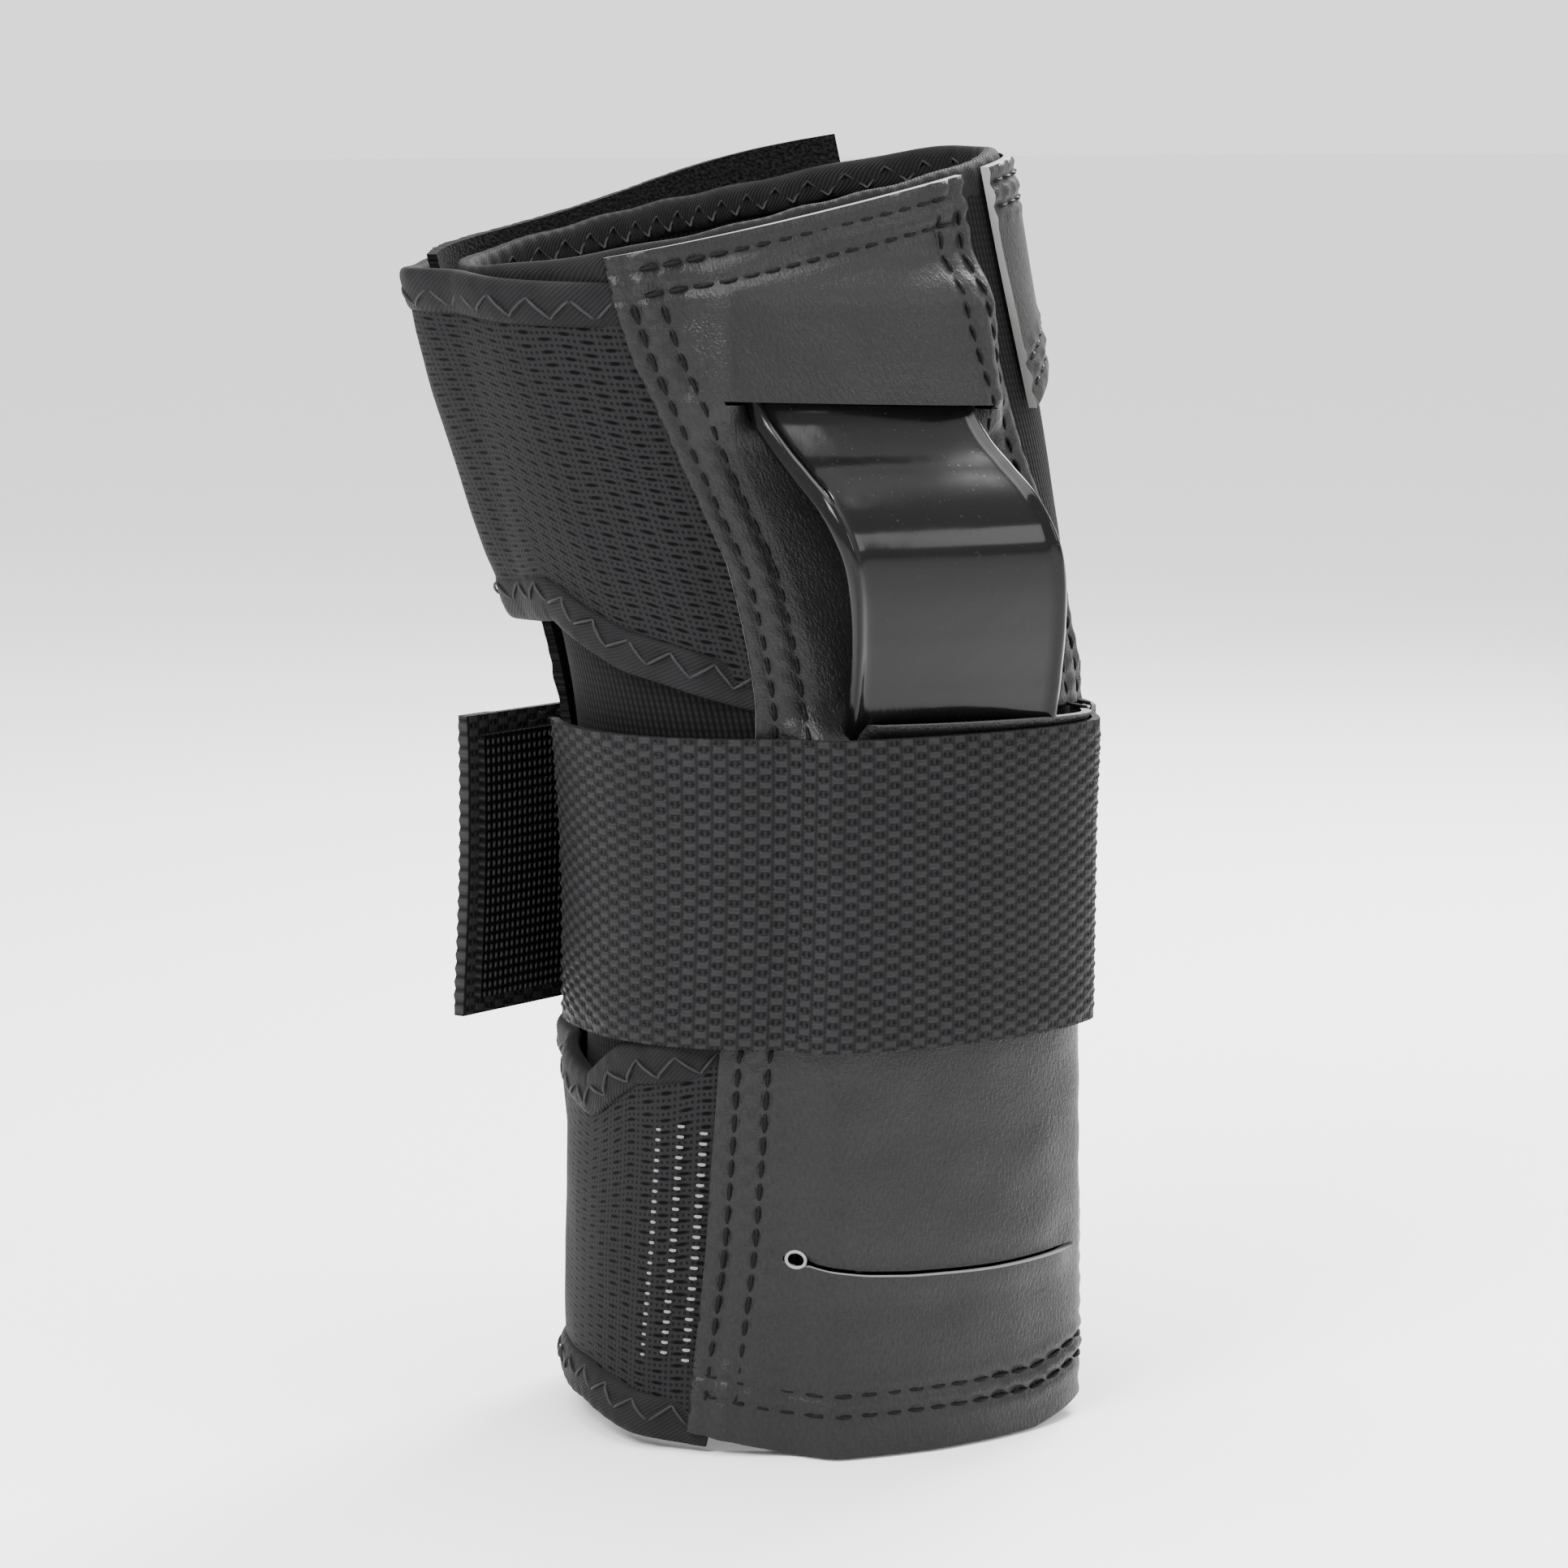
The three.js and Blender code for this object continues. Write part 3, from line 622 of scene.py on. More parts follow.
def webbing_paint():
    """The strap's weave: light staggered lozenges, pits darkened with painted shade, and fibres along the
    yarns.
    """
    p = Paint("woven nylon webbing", (0.0063, 0.0063, 0.0067), 0.5, sheen=0.01, shine=0.07)
    uv = p.uv()
    x, y = p.part(uv, 0), p.part(uv, 1)
    columns = p.math("COSINE", p.math("MULTIPLY", x, math.pi / WEAVE_X))
    rows = p.math("COSINE", p.math("MULTIPLY", y, 2 * math.pi / WEAVE_Y))
    lozenge = p.ramp(p.math("MULTIPLY", columns, rows), -1, 1)
    gap = p.ramp(p.math("ABSOLUTE", columns), 0.0, 0.5, 0.45, 1.0)
    neck = p.ramp(p.math("ABSOLUTE", columns), 0.82, 1.0, 0.0, 0.55)
    height = p.math("MAXIMUM", p.math("MULTIPLY", p.ramp(lozenge, 0.12, 0.62), gap), neck)
    fibre = p.noise(uv, 2.4, 2, ((0, 0, 0.0), (0.35, 1.6, 1)))
    worn = p.noise(uv, 0.09, 3)
    yarn = p.mix(fibre, (0.0055, 0.0055, 0.0059), (0.021, 0.021, 0.0223))
    yarn = p.mix(p.ramp(worn, 0.3, 0.7, 0.0, 0.35), yarn, (0.0189, 0.0189, 0.0202))
    # Painted shade: the pits between the lozenges get a near-black colour for the shade that falls in them.
    p.color(p.mix(height, (0.0009, 0.0009, 0.001), yarn))
    p.rough(p.ramp(fibre, 0.3, 0.7, 0.55, 0.42))
    p.bump(height, 0.8, 0.45)
    p.bump(fibre, 0.5, 0.15)
    return p.material


def mesh_paint():
    """Knitted spacer cloth: staggered eyelets over rows of small dots, openings whose near-black is painted
    shade.
    """
    p = Paint("knitted mesh cloth", (0.0084, 0.0084, 0.0084), 0.7, sheen=0.01, shine=0.05)
    uv = p.uv()
    along, up = p.part(uv, 0), p.part(uv, 1)
    drift = p.noise(uv, 0.05, 2)
    up = p.math("ADD", up, p.ramp(drift, 0.2, 0.8, -1.0, 1.0))
    columns = p.math("COSINE", p.math("MULTIPLY", along, math.pi / 3.0))
    rows = p.math("COSINE", p.math("MULTIPLY", up, 2 * math.pi / 1.75))
    eyelets = p.ramp(p.math("MULTIPLY", columns, rows), 0.5, 0.8)
    dots = p.math("MULTIPLY", p.wave(along, 0.85), p.wave(up, 0.875, 1.6))
    holes = p.math("MAXIMUM", eyelets, p.ramp(dots, 0.35, 0.75, 0.0, 0.7))
    fuzz = p.noise(uv, 4.5, 2)
    cloth_color = p.mix(fuzz, (0.0067, 0.0067, 0.0071), (0.0151, 0.0151, 0.016))
    # Painted shade: the eyelets and dots are real openings, but their near-black colour stands in for the
    # shade inside them.
    p.color(p.mix(holes, cloth_color, (0.0006, 0.0006, 0.0006)))
    p.bump(p.math("SUBTRACT", 1.0, holes), 0.8, 0.25)
    p.bump(fuzz, 0.4, 0.1)
    return p.material


def tape_paint():
    """Binding tape: a fine diagonal twill."""
    p = Paint("binding tape", (0.0059, 0.0059, 0.0063), 0.65, sheen=0.015, shine=0.06)
    uv = p.uv()
    slant = p.math("ADD", p.part(uv, 0), p.part(uv, 1))
    twill = p.wave(slant, 0.8)
    worn = p.noise(uv, 0.2, 3)
    speck = p.noise(uv, 4.0, 2)
    lit = p.mix(worn, (0.0059, 0.0059, 0.0063), (0.0143, 0.0143, 0.0151))
    tone = p.mix(p.ramp(twill, 0, 1, 0.6, 1), (0.0017, 0.0017, 0.0019), lit)
    # Painted shade: darker where the mesh's shade attribute is low, in the creases of the gathered thumb-hole
    # tape.
    p.color(p.mix(p.shade(), (0.0013, 0.0013, 0.0013), tone))
    p.bump(twill, 0.6, 0.14)
    p.bump(speck, 0.4, 0.1)
    p.bump(worn, 0.4, 0.5)
    return p.material


def pile_paint():
    """Loop pile, with an even fuzz."""
    p = Paint("loop pile", (0.0067, 0.0067, 0.0071), 0.95, sheen=0.04, shine=0.05)
    uv = p.uv()
    loops = p.noise(uv, 1.7, 3)
    tufts = p.noise(uv, 0.5, 3)
    tone = p.mix(p.ramp(loops, 0.38, 0.62), (0.0013, 0.0013, 0.0013), (0.0109, 0.0109, 0.0118))
    p.color(p.mix(p.ramp(tufts, 0.3, 0.7, 0, 0.45), tone, (0.0021, 0.0021, 0.0021)))
    p.bump(loops, 1.0, 0.6)
    p.bump(tufts, 0.6, 0.4)
    return p.material


def lining_paint():
    """Brushed lining cloth with a fine rib."""
    p = Paint("lining cloth", (0.0059, 0.0059, 0.0063), 0.8, sheen=0.015, shine=0.05)
    uv = p.uv()
    rib = p.wave(p.part(uv, 0), 1.0)
    cross = p.wave(p.part(uv, 1), 1.2)
    knit = p.math("MULTIPLY", rib, p.ramp(cross, 0, 1, 0.5, 1))
    p.color(p.mix(knit, (0.0025, 0.0025, 0.0027), (0.0101, 0.0101, 0.0109)))
    p.bump(knit, 0.7, 0.22)
    p.bump(p.noise(uv, 0.12, 3), 0.5, 1.0)
    return p.material


def hook_paint():
    p = Paint("hook tape", (0.005, 0.005, 0.0055), 0.4, shine=0.15)
    uv = p.uv()
    hooks = p.math("MULTIPLY", p.wave(p.part(uv, 0), 1.3), p.wave(p.part(uv, 1), 1.6))
    p.color(p.mix(hooks, (0.0013, 0.0013, 0.0013), (0.0126, 0.0126, 0.0134)))
    p.bump(hooks, 1.0, 0.7)
    return p.material


def splint_paint():
    """Polished black plastic with specks, smears and faint scratches."""
    color = (0.0021, 0.0021, 0.0023)
    p = Paint("polished molded splint", color, 0.2, shine=0.16)
    space = p.space()
    scratch = p.noise(space, 0.5, 4, ((0.3, 0.5, 0.2), (3, 3, 0.25)))
    specks = p.ramp(p.noise(space, 1.6, 4), 0.66, 0.72)
    smears = p.noise(space, 0.05, 3)
    p.rough(p.math("ADD", p.ramp(smears, 0.3, 0.7, 0.1, 0.2), p.math("MULTIPLY", specks, 0.2)))
    p.color(p.mix(p.math("MULTIPLY", specks, 0.5), color, (0.0126, 0.0126, 0.013)))
    p.bump(scratch, 0.12, 0.05)
    p.bump(p.noise(space, 0.09, 2), 0.25, 0.5)
    return p.material


def stay_paint():
    p = Paint("molded back stay", (0.0105, 0.0105, 0.0113), 0.4)
    p.bump(p.noise(p.space(), 1.0, 2), 0.2, 0.1)
    return p.material


def thread_paint(name, color):
    p = Paint(name, color, 0.5, sheen=0.01, shine=0.08)
    p.bump(p.wave(p.math("ADD", p.part(p.uv(), 0), p.part(p.uv(), 1)), 2.0), 0.5, 0.08)
    return p.material


def label_paint():
    """A woven label, dark, with a plain orange-red band and a thin grey line near its foot."""
    p = Paint("woven label", (0.0042, 0.0042, 0.0046), 0.6, sheen=0.01, shine=0.06)
    uv = p.uv()
    along, up = p.part(uv, 0), p.part(uv, 1)

    def band(value, low, high):
        return p.math("MULTIPLY", p.math("GREATER_THAN", value, low), p.math("LESS_THAN", value, high))

    inside = band(along, 5.0, LABEL_LENGTH - 5.0)
    orange = p.math("MULTIPLY", inside, band(up, 8.5, 13.0))
    grey = p.math("MULTIPLY", inside, band(up, 5.6, 6.6))
    weave = p.math("MULTIPLY", p.wave(along, 0.8), p.wave(up, 0.7))
    cloth = p.mix(weave, (0.0025, 0.0025, 0.0027), (0.0092, 0.0092, 0.0101))
    lit = p.mix(weave, (0.4, 0.03, 0.004), (0.68, 0.06, 0.008))
    p.color(p.mix(orange, p.mix(grey, cloth, (0.3, 0.3, 0.31)), lit))
    p.bump(weave, 0.7, 0.12)
    p.bump(p.math("MAXIMUM", orange, grey), 0.6, 0.15)
    return p.material


LEATHER = leather_paint()
CUT_EDGE = cut_paint()
WEBBING = webbing_paint()
MESH = mesh_paint()
TAPE = tape_paint()
PILE = pile_paint()
LINING = lining_paint()
HOOKS = hook_paint()
POLISHED = splint_paint()
STAY_PLASTIC = stay_paint()
THREAD = thread_paint("sewing thread", (0.0126, 0.0126, 0.0134))
DARK_THREAD = thread_paint("leather thread", (0.0034, 0.0034, 0.0036))
# Painted light: a pale thread that stands for light showing through the lower side mesh.
SEEN_THROUGH_LIGHT = thread_paint("painted light through mesh", (0.16, 0.16, 0.16))
ZIGZAG_THREAD = thread_paint("binding thread", (0.019, 0.019, 0.02))
FUZZ = thread_paint("pile fibres", (0.0168, 0.0168, 0.0181))
LABEL = label_paint()


# ---- builders of pieces on the sleeve --------------------------------------------------------

def place(obj, slot, *nodes, body="sleeve"):
    """Let a piece ride a body, and let it stand in for CAD nodes. The slot is not used."""
    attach(obj, body)
    if nodes:
        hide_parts(*nodes)


def cloth(name, angle, z, off, thick, materials, keep=None, closed=False, rows=None):
    """A sheet on the sleeve from grids of angle and height, and how far off the wall it lies.
    Its weave runs level, or along rows where they are given."""
    uv = np.stack([s_at(angle, z), z if rows is None else rows], axis=-1)
    return slab(name, wall(angle, z, off + thick), wall(angle, z, off), uv, materials, keep, closed)


TAPE_HALF = 3.7
TAPE_SIDES = 22


def binding(name, line, base, depth, seed):
    """A folded tape along an (s, z) line, with the functions for where it starts and how thick."""
    points, far = even(line, 0.8)
    x, y = tape_section()
    wander = 0.25 * ripple(far, 0, seed, 22)
    pull = 0.1 * np.cos(2 * math.pi * far / 3.0)
    ahead = unit(np.gradient(points, axis=0))
    side = np.stack([-ahead[:, 1], ahead[:, 0]], axis=1)
    aside = (x * TAPE_HALF)[None, :] + wander[:, None]
    spots = points[:, None, :] + side[:, None, :] * aside[..., None]
    angle, z = angle_at(spots[..., 0], spots[..., 1]), spots[..., 1]
    uneven = 0.25 * ripple(far, 0, seed + 1, 14)[:, None] + pull[:, None] * (np.abs(x) > 0.3)
    off = base(angle, z) + depth(angle, z) / 2 * (1 + y) + np.maximum(y, 0) * uneven
    steps = np.hypot(np.diff(x) * TAPE_HALF, np.diff(y) * 1.6)
    around = np.concatenate([[0], np.cumsum(steps)])
    return tube(name, wall(angle, z, off), far, around, closed=False)


def tape_section():
    """The cross-section of a folded tape: a flattened oval, from -1 to 1 both ways."""
    turn = np.arange(TAPE_SIDES) * 2 * math.pi / TAPE_SIDES
    x = np.sign(np.cos(turn)) * np.abs(np.cos(turn)) ** 0.7
    y = np.sign(np.sin(turn)) * np.abs(np.sin(turn)) ** 0.6
    return x, y


def tube(name, grid, far, around, shade=None, closed=True):
    """A tube of tape from its rings of points. It is a closed loop, or has two flat ends."""
    rings, sides = grid.shape[:2]
    faces = []
    for i in range(rings if closed else rings - 1):
        after = ((i + 1) % rings) * sides
        for j in range(sides):
            ahead = (j + 1) % sides
            faces.append((i * sides + j, i * sides + ahead, after + ahead, after + j))
    if not closed:
        faces.append(list(range(sides))[::-1])
        faces.append([(rings - 1) * sides + j for j in range(sides)])
    uv = np.stack(np.broadcast_arrays(far[:, None], around[None, :]), axis=-1).reshape(-1, 2)
    obj = new_mesh(name, grid.reshape(-1, 3), faces, uv, [TAPE], shade)
    face_out(obj)
    return obj


def ring_binding(name, height, half, low, high, phase):
    """A folded tape round the whole sleeve. Its ring is closed by angle, not by s."""
    angle = np.linspace(0, 360, 380, endpoint=False)
    x, y = tape_section()
    far = angle / 360 * ROUND
    turn = far * 2 * math.pi / ROUND
    wander = 0.3 * np.sin(turn * 9) * np.sin(turn * 5 + phase)
    pull = 0.12 * np.cos(far * 2 * math.pi / 3.1)
    z = height(angle)[:, None] + x[None, :] * half + wander[:, None]
    off = (low + high) / 2 + (high - low) / 2 * y[None, :] + pull[:, None]
    around = np.arange(TAPE_SIDES) * 2 * math.pi / TAPE_SIDES * half
    return tube(name, wall(angle[:, None], z, off), far, around)


def level(value):
    """A distance off the wall that is the same everywhere."""
    return lambda angle, z: value


# ---- the lining and the tapes round its ends -------------------------------------------------

HOLE_ANGLE, HOLE_Z = 28.0, 157.0
HOLE_WIDE, HOLE_TALL, HOLE_RIM = 25.0, 45.0, 6.0
HOLE_S = float(s_at(HOLE_ANGLE, HOLE_Z))


def hole_distance(angle, z):
    """How far out of the thumb hole a spot is: 1 on the middle of its rolled edge."""
    across = (s_at(angle, z) - HOLE_S) / ((HOLE_WIDE + HOLE_RIM) / 2)
    up = (z - HOLE_Z) / ((HOLE_TALL + HOLE_RIM) / 2)
    return np.hypot(across, up)


def outside_hole(angle, z):
    """Which cells of a grid lie outside the thumb hole's rolled edge."""
    distance = hole_distance(angle, z)
    middle = (distance[:-1, :-1] + distance[1:, 1:] + distance[1:, :-1] + distance[:-1, 1:]) / 4
    return middle > 1.0


def lining():
    """The padded sleeve between its two tapes, with the thumb hole cut out."""
    angle = np.linspace(0, 360, 150)[:, None]
    share = np.linspace(0, 1, 110)[None, :]
    low, high = cuff(angle) + 5, rim(angle) - 3
    z = low + (high - low) * share
    angle = np.broadcast_to(angle, z.shape)
    soft = 0.35 * ripple(angle * 0.7, z, 3, 30)
    obj = cloth(
        "padded_lining", angle[:-1], z[:-1], 0.1, 1.8 + 0.1 * soft[:-1], [LINING],
        keep=outside_hole(np.where(angle > 250, angle - 360, angle), z), closed=True,
    )
    place(obj, "lining", "padded_liner")


def ring_threads(name, height, off, pitch=6.2, wide=3.0):
    """A zigzag round the whole sleeve at a height that depends on the angle."""
    count = int(ROUND / (pitch / 2)) // 2 * 2
    angle = np.linspace(0, 360, count + 1)
    z = height(angle) + np.where(np.arange(count + 1) % 2, wide / 2, -wide / 2)
    spots = np.stack([angle, z], axis=1)
    return stitches(name, list(zip(spots[:-1], spots[1:])), level(off), ZIGZAG_THREAD, radius=0.26)


def rims():
    """The tapes round the two openings. One's zigzag shows inside, the other's outside."""
    hand = ring_binding("hand_rim_tape", lambda a: rim(a) - 2.4, 3.0, -1.1, 2.1, 0.4)
    inside = ring_threads("hand_rim_zigzag", lambda a: rim(a) - 3.0, -1.15)
    forearm = ring_binding("forearm_rim_tape", lambda a: cuff(a) + 4.1, TAPE_HALF, -0.6, 2.3, 1.9)
    outside = ring_threads("forearm_rim_zigzag", lambda a: cuff(a) + 4.0, 2.35)
    place(hand, "binding", "hand_rim_binding")
    place(forearm, "binding", "forearm_rim_binding")
    place(inside, "binding")
    place(outside, "binding")


def thumb_roll():
    """The elastic tape round the thumb hole, gathered into folds."""
    turn = np.linspace(0, 2 * math.pi, 420, endpoint=False)
    rng = np.random.default_rng(8)
    uneven = sum(
        rng.uniform(0.2, 0.6) * np.sin(k * turn + rng.uniform(0, 6)) for k in (2, 3, 5, 7, 11)
    )
    gathers = turn * 17 + uneven * 1.6
    fold = np.abs(np.sin(gathers)) ** 0.7
    small = np.sin(turn * 53 + uneven * 3)
    around = np.linspace(0, 2 * math.pi, 26, endpoint=False)
    c, s = np.cos(around), np.sin(around)
    swell = 0.82 + 0.24 * fold + 0.04 * small
    half = (HOLE_RIM / 2 + 0.3) * swell[:, None] * np.sign(c) * np.abs(c) ** 0.85
    lean = 0.5 * np.sin(gathers + 0.8)[:, None] * np.abs(s)
    out = 2.1 + 2.9 * swell[:, None] * np.sign(s) * np.abs(s) ** 0.85
    reach_s, reach_z = (HOLE_WIDE + HOLE_RIM) / 2, (HOLE_TALL + HOLE_RIM) / 2
    bulge = (1.0 + 0.03 * uneven)[:, None]
    cos_turn, sin_turn = np.cos(turn)[:, None], np.sin(turn)[:, None]
    at_s = HOLE_S + cos_turn * (reach_s * bulge + half) - sin_turn * lean
    at_z = HOLE_Z + sin_turn * (reach_z * bulge + half) + cos_turn * lean
    far = turn * (reach_s + reach_z) / 2
    # Painted shade: the tape is darker in the creases between the gathers, carried to its colour by the shade
    # attribute.
    shade = np.repeat(0.25 + 0.75 * fold, len(around))
    grid = wall(angle_at(at_s, at_z), at_z, out)
    obj = tube("gathered_thumb_hole_tape", grid, far, around * 3.2, shade)
    place(obj, "binding", "thumb_hole_binding")


# ---- the leather -----------------------------------------------------------------------------

LEATHER_LEFT = [
    (-36, 1), (-33, 35), (-31, 66), (-27, 100), (-26, 124),
    (-27, 148), (-31, 166), (-34, 182), (-35, 197.5),
]
LEATHER_RIGHT = [
    (42, 1), (43.5, 35), (44, 66), (43, 100), (40, 124), (36, 148), (31, 166), (29, 188), (31, 212.5),
]
STITCH_PITCH = 3.8
EDGE_ROWS = (2.8, 7.3)  # how far in from the leather's edges its stitches run
FOOT_ROWS = (7.5, 11.0)
TOP_ROWS = (3.2, 7.4)
LEATHER_WIDE = 75.0

# The slits that the splint shows through: (s from the palm's middle, height) along each one.
SLITS = (
    ((-19.7, 33.6), (-16, 32.5), (-10, 31.4), (-2.7, 30.7), (12, 30.2), (29.3, 30.3)),
    ((-12.5, 122.8), (42.5, 121.6)),
    ((-22.0, 175.0), (24.0, 173.0)),
)
SLIT_HALF = 0.35


def slit_height(slit, s):
    """The height of a slit at each s."""
    points = np.array(slit)
    return np.interp(s, points[:, 0], points[:, 1])


def in_slit(slit, s):
    """How well inside a slit's length a spot is: 0 at its ends and beyond, 1 from 4 mm in."""
    ends = np.array(slit)[[0, -1], 0]
    return smooth(np.minimum(s - ends[0], ends[1] - s), 0, 4.0)


def leather_lift(s, z):
    """How far the leather is pushed out over the splint's hidden ends. Each slit has one lip
    that lies over the splint and one that lies under it."""
    low, middle, high = (slit_height(slit, s) for slit in SLITS)
    fade = (1 - smooth(z, 119, 126)) + smooth(z, 167, 175) * (1 - smooth(z, 190, 200))
    for slit, line, above in ((SLITS[1], middle, 0.0), (SLITS[2], high, 1.0)):
        near = in_slit(slit, s) * (1 - smooth(np.abs(z - line), 2, 7))
        fade = fade + near * (np.where(z > line, above, 1 - above) - fade)
    curl = in_slit(SLITS[0], s) * (1 - smooth(np.abs(z - low), 0, 6)) * np.where(z > low, -0.5, 0.6)
    lip = in_slit(SLITS[1], s) * smooth(z, middle - 3.5, middle - 0.5) * (z < middle)
    return fade, curl + 2.2 * lip


def leather_off(angle, z):
    """Where the palm leather starts, outside the wall."""
    s = s_at(angle, z) - s_at(PALM, z)
    fade, curl = leather_lift(s, z)
    return SKIN_IN + PALM_LIFT * over_splint(angle, z) * fade + curl


def spaced_across(width, edge=9.0, fine=0.7, coarse=1.5):
    """Positions across a sheet, closer together along its two stitched edges."""
    side = np.linspace(0, edge, int(edge / fine) + 1)
    middle = np.linspace(edge, width - edge, int((width - 2 * edge) / coarse) + 2)
    return np.concatenate([side, middle[1:-1], width - side[::-1]]) / width


def groove(distance, far, pitch=STITCH_PITCH):
    """The dent that stitches pull into leather, along a row at the given distance."""
    pinch = 0.6 + 0.4 * np.cos(2 * math.pi * far / pitch)
    swell = np.exp(-((np.abs(distance) - 1.7) / 0.9) ** 2)
    return pinch * (0.36 * swell - 0.5 * np.exp(-(distance / 0.75) ** 2))


def leather_levels(s, angle):
    """The heights of the leather's foot, of both lips of each slit, and of its top."""
    lips = [slit_height(slit, s) + side * SLIT_HALF for slit in SLITS for side in (-1, 1)]
    return [cuff(angle) + 0.6, *lips, rim(angle) - 0.4]


def leather_grid():
    """The (s, z) grid of the palm leather, and which of its cells are cut away by the slits."""
    across = spaced_across(LEATHER_WIDE)
    left, right = np.array(LEATHER_LEFT, float), np.array(LEATHER_RIGHT, float)
    counts = (34, 1, 94, 1, 58, 1, 36)  # rows of cells from each level to the next
    about = (1, 31.9, 32.6, 121.9, 122.6, 173.5, 174.2, 205)  # roughly where the levels are
    columns, slit_cells = [], []
    for k, count in enumerate(counts):
        last = k == len(counts) - 1
        for share in np.linspace(0, 1, count + 1)[: None if last else -1]:
            height = about[k] + (about[k + 1] - about[k]) * share
            s = np.interp(height, left[:, 1], left[:, 0]) * (1 - across)
            s = s + np.interp(height, right[:, 1], right[:, 0]) * across
            levels = leather_levels(s, angle_at(s, height, PALM))
            columns.append((s, levels[k] * (1 - share) + levels[k + 1] * share))
        if count == 1:
            slit_cells.append(sum(counts[:k]))
    s, z = np.stack(columns, axis=-1)
    keep = np.ones((s.shape[0] - 1, s.shape[1] - 1), bool)
    middle_s = (s[:-1, :-1] + s[1:, 1:]) / 2
    for cell, slit in zip(slit_cells, SLITS):
        ends = np.array(slit)[[0, -1], 0]
        keep[:, cell] = (middle_s[:, cell] < ends[0]) | (middle_s[:, cell] > ends[1])
    return s, z, keep


def punched(s, z, keep):
    """The grid drawn back from the round hole at the end of the lowest slit, and its cells left."""
    hole_s, hole_z = SLITS[0][0]
    away = np.maximum(np.hypot(s - hole_s, z - hole_z), 1e-6)
    push = np.where(away < 2.4, np.maximum(away, 1.2 + away * 0.5) / away, 1.0)
    middle_away = (away[:-1, :-1] + away[1:, 1:] + away[1:, :-1] + away[:-1, 1:]) / 4
    return hole_s + (s - hole_s) * push, hole_z + (z - hole_z) * push, keep & (middle_away > 1.0)


def leather_rows():
    """Needle holes for the palm leather's stitches: two rows along each edge, its foot and top."""
    rows = []
    for edge, sign in ((LEATHER_LEFT, 1), (LEATHER_RIGHT, -1)):
        for inset in EDGE_ROWS:
            line = [(s + sign * inset, z) for s, z in edge]
            line[0] = (line[0][0], 9.0)
            line[-1] = (line[-1][0], line[-1][1] - 6.0)
            rows += row_of_stitches(np.array([from_palm(*point) for point in line]), STITCH_PITCH)
    for insets, ends, middle, edge, sign in (
        (FOOT_ROWS, (-33.5, 39), 8.0, cuff, 1),
        (TOP_ROWS, (-30, 27), 200.0, rim, -1),
    ):
        s = np.linspace(*ends, 24)
        angle = angle_at(s, middle, PALM)
        for inset in insets:
            line = [from_palm(*point) for point in zip(s, edge(angle) + sign * inset)]
            rows += row_of_stitches(np.array(line), STITCH_PITCH)
    return rows


def hole_edge():
    """The pale cut edge of the punched hole, as a ring of thread."""
    hole_s, hole_z = SLITS[0][0]
    turn = np.linspace(0, 2 * math.pi, 25)
    z = hole_z + 1.35 * np.sin(turn)
    angle = angle_at(hole_s + 1.35 * np.cos(turn), z, PALM)
    ring = wall(angle, z, leather_off(angle, z) + SKIN)
    return strands("punched_hole_edge", ring[None], normal(angle, z)[None], 0.28 * MM, CUT_EDGE, taper=1.0)


def palm_leather():
    """The palm's leather, slit for the splint, with dents along its rows of stitches."""
    s, z, keep = punched(*leather_grid())
    angle = angle_at(s, z, PALM)
    keep &= outside_hole(angle, z)
    from_left, from_right = s - s[:1], s[-1:] - s
    dents = sum(groove(edge - row, z) for edge in (from_left, from_right) for row in EDGE_ROWS)
    for edge, insets in ((z - cuff(angle), FOOT_ROWS), (rim(angle) - z, TOP_ROWS)):
        for inset in insets:
            dents = dents + groove(edge - inset, s)
    ripples = 0.45 * ripple(s, z, 11, 38) + 0.2 * ripple(s, z, 12, 11)
    rounding = -0.15 * np.exp(-np.minimum(from_left, from_right) / 0.6)
    obj = cloth(
        "palm_leather", angle, z, leather_off(angle, z) + 0.25 * ripples,
        SKIN + dents + 0.3 * ripples + rounding, [LEATHER, CUT_EDGE], keep,
    )
    threads = stitches(
        "palm_leather_stitches", leather_rows(), lambda a, h: leather_off(a, h) + SKIN - 0.2,
        DARK_THREAD, 0.36, 0.2,
    )
    eyelet = hole_edge()
    place(obj, "leather", "palm_leather")
    place(threads, "leather")
    place(eyelet, "leather")


THUMB_LEATHER_FROM, THUMB_LEATHER_ROUND = -28.0, 82.0  # degrees
THUMB_ROWS = (3.0, 7.2)


def thumb_leather_foot(share):
    """The height of the thumb leather's lower edge, which arches over the thumb hole."""
    return 172 + 12 * np.sin(math.pi * share)


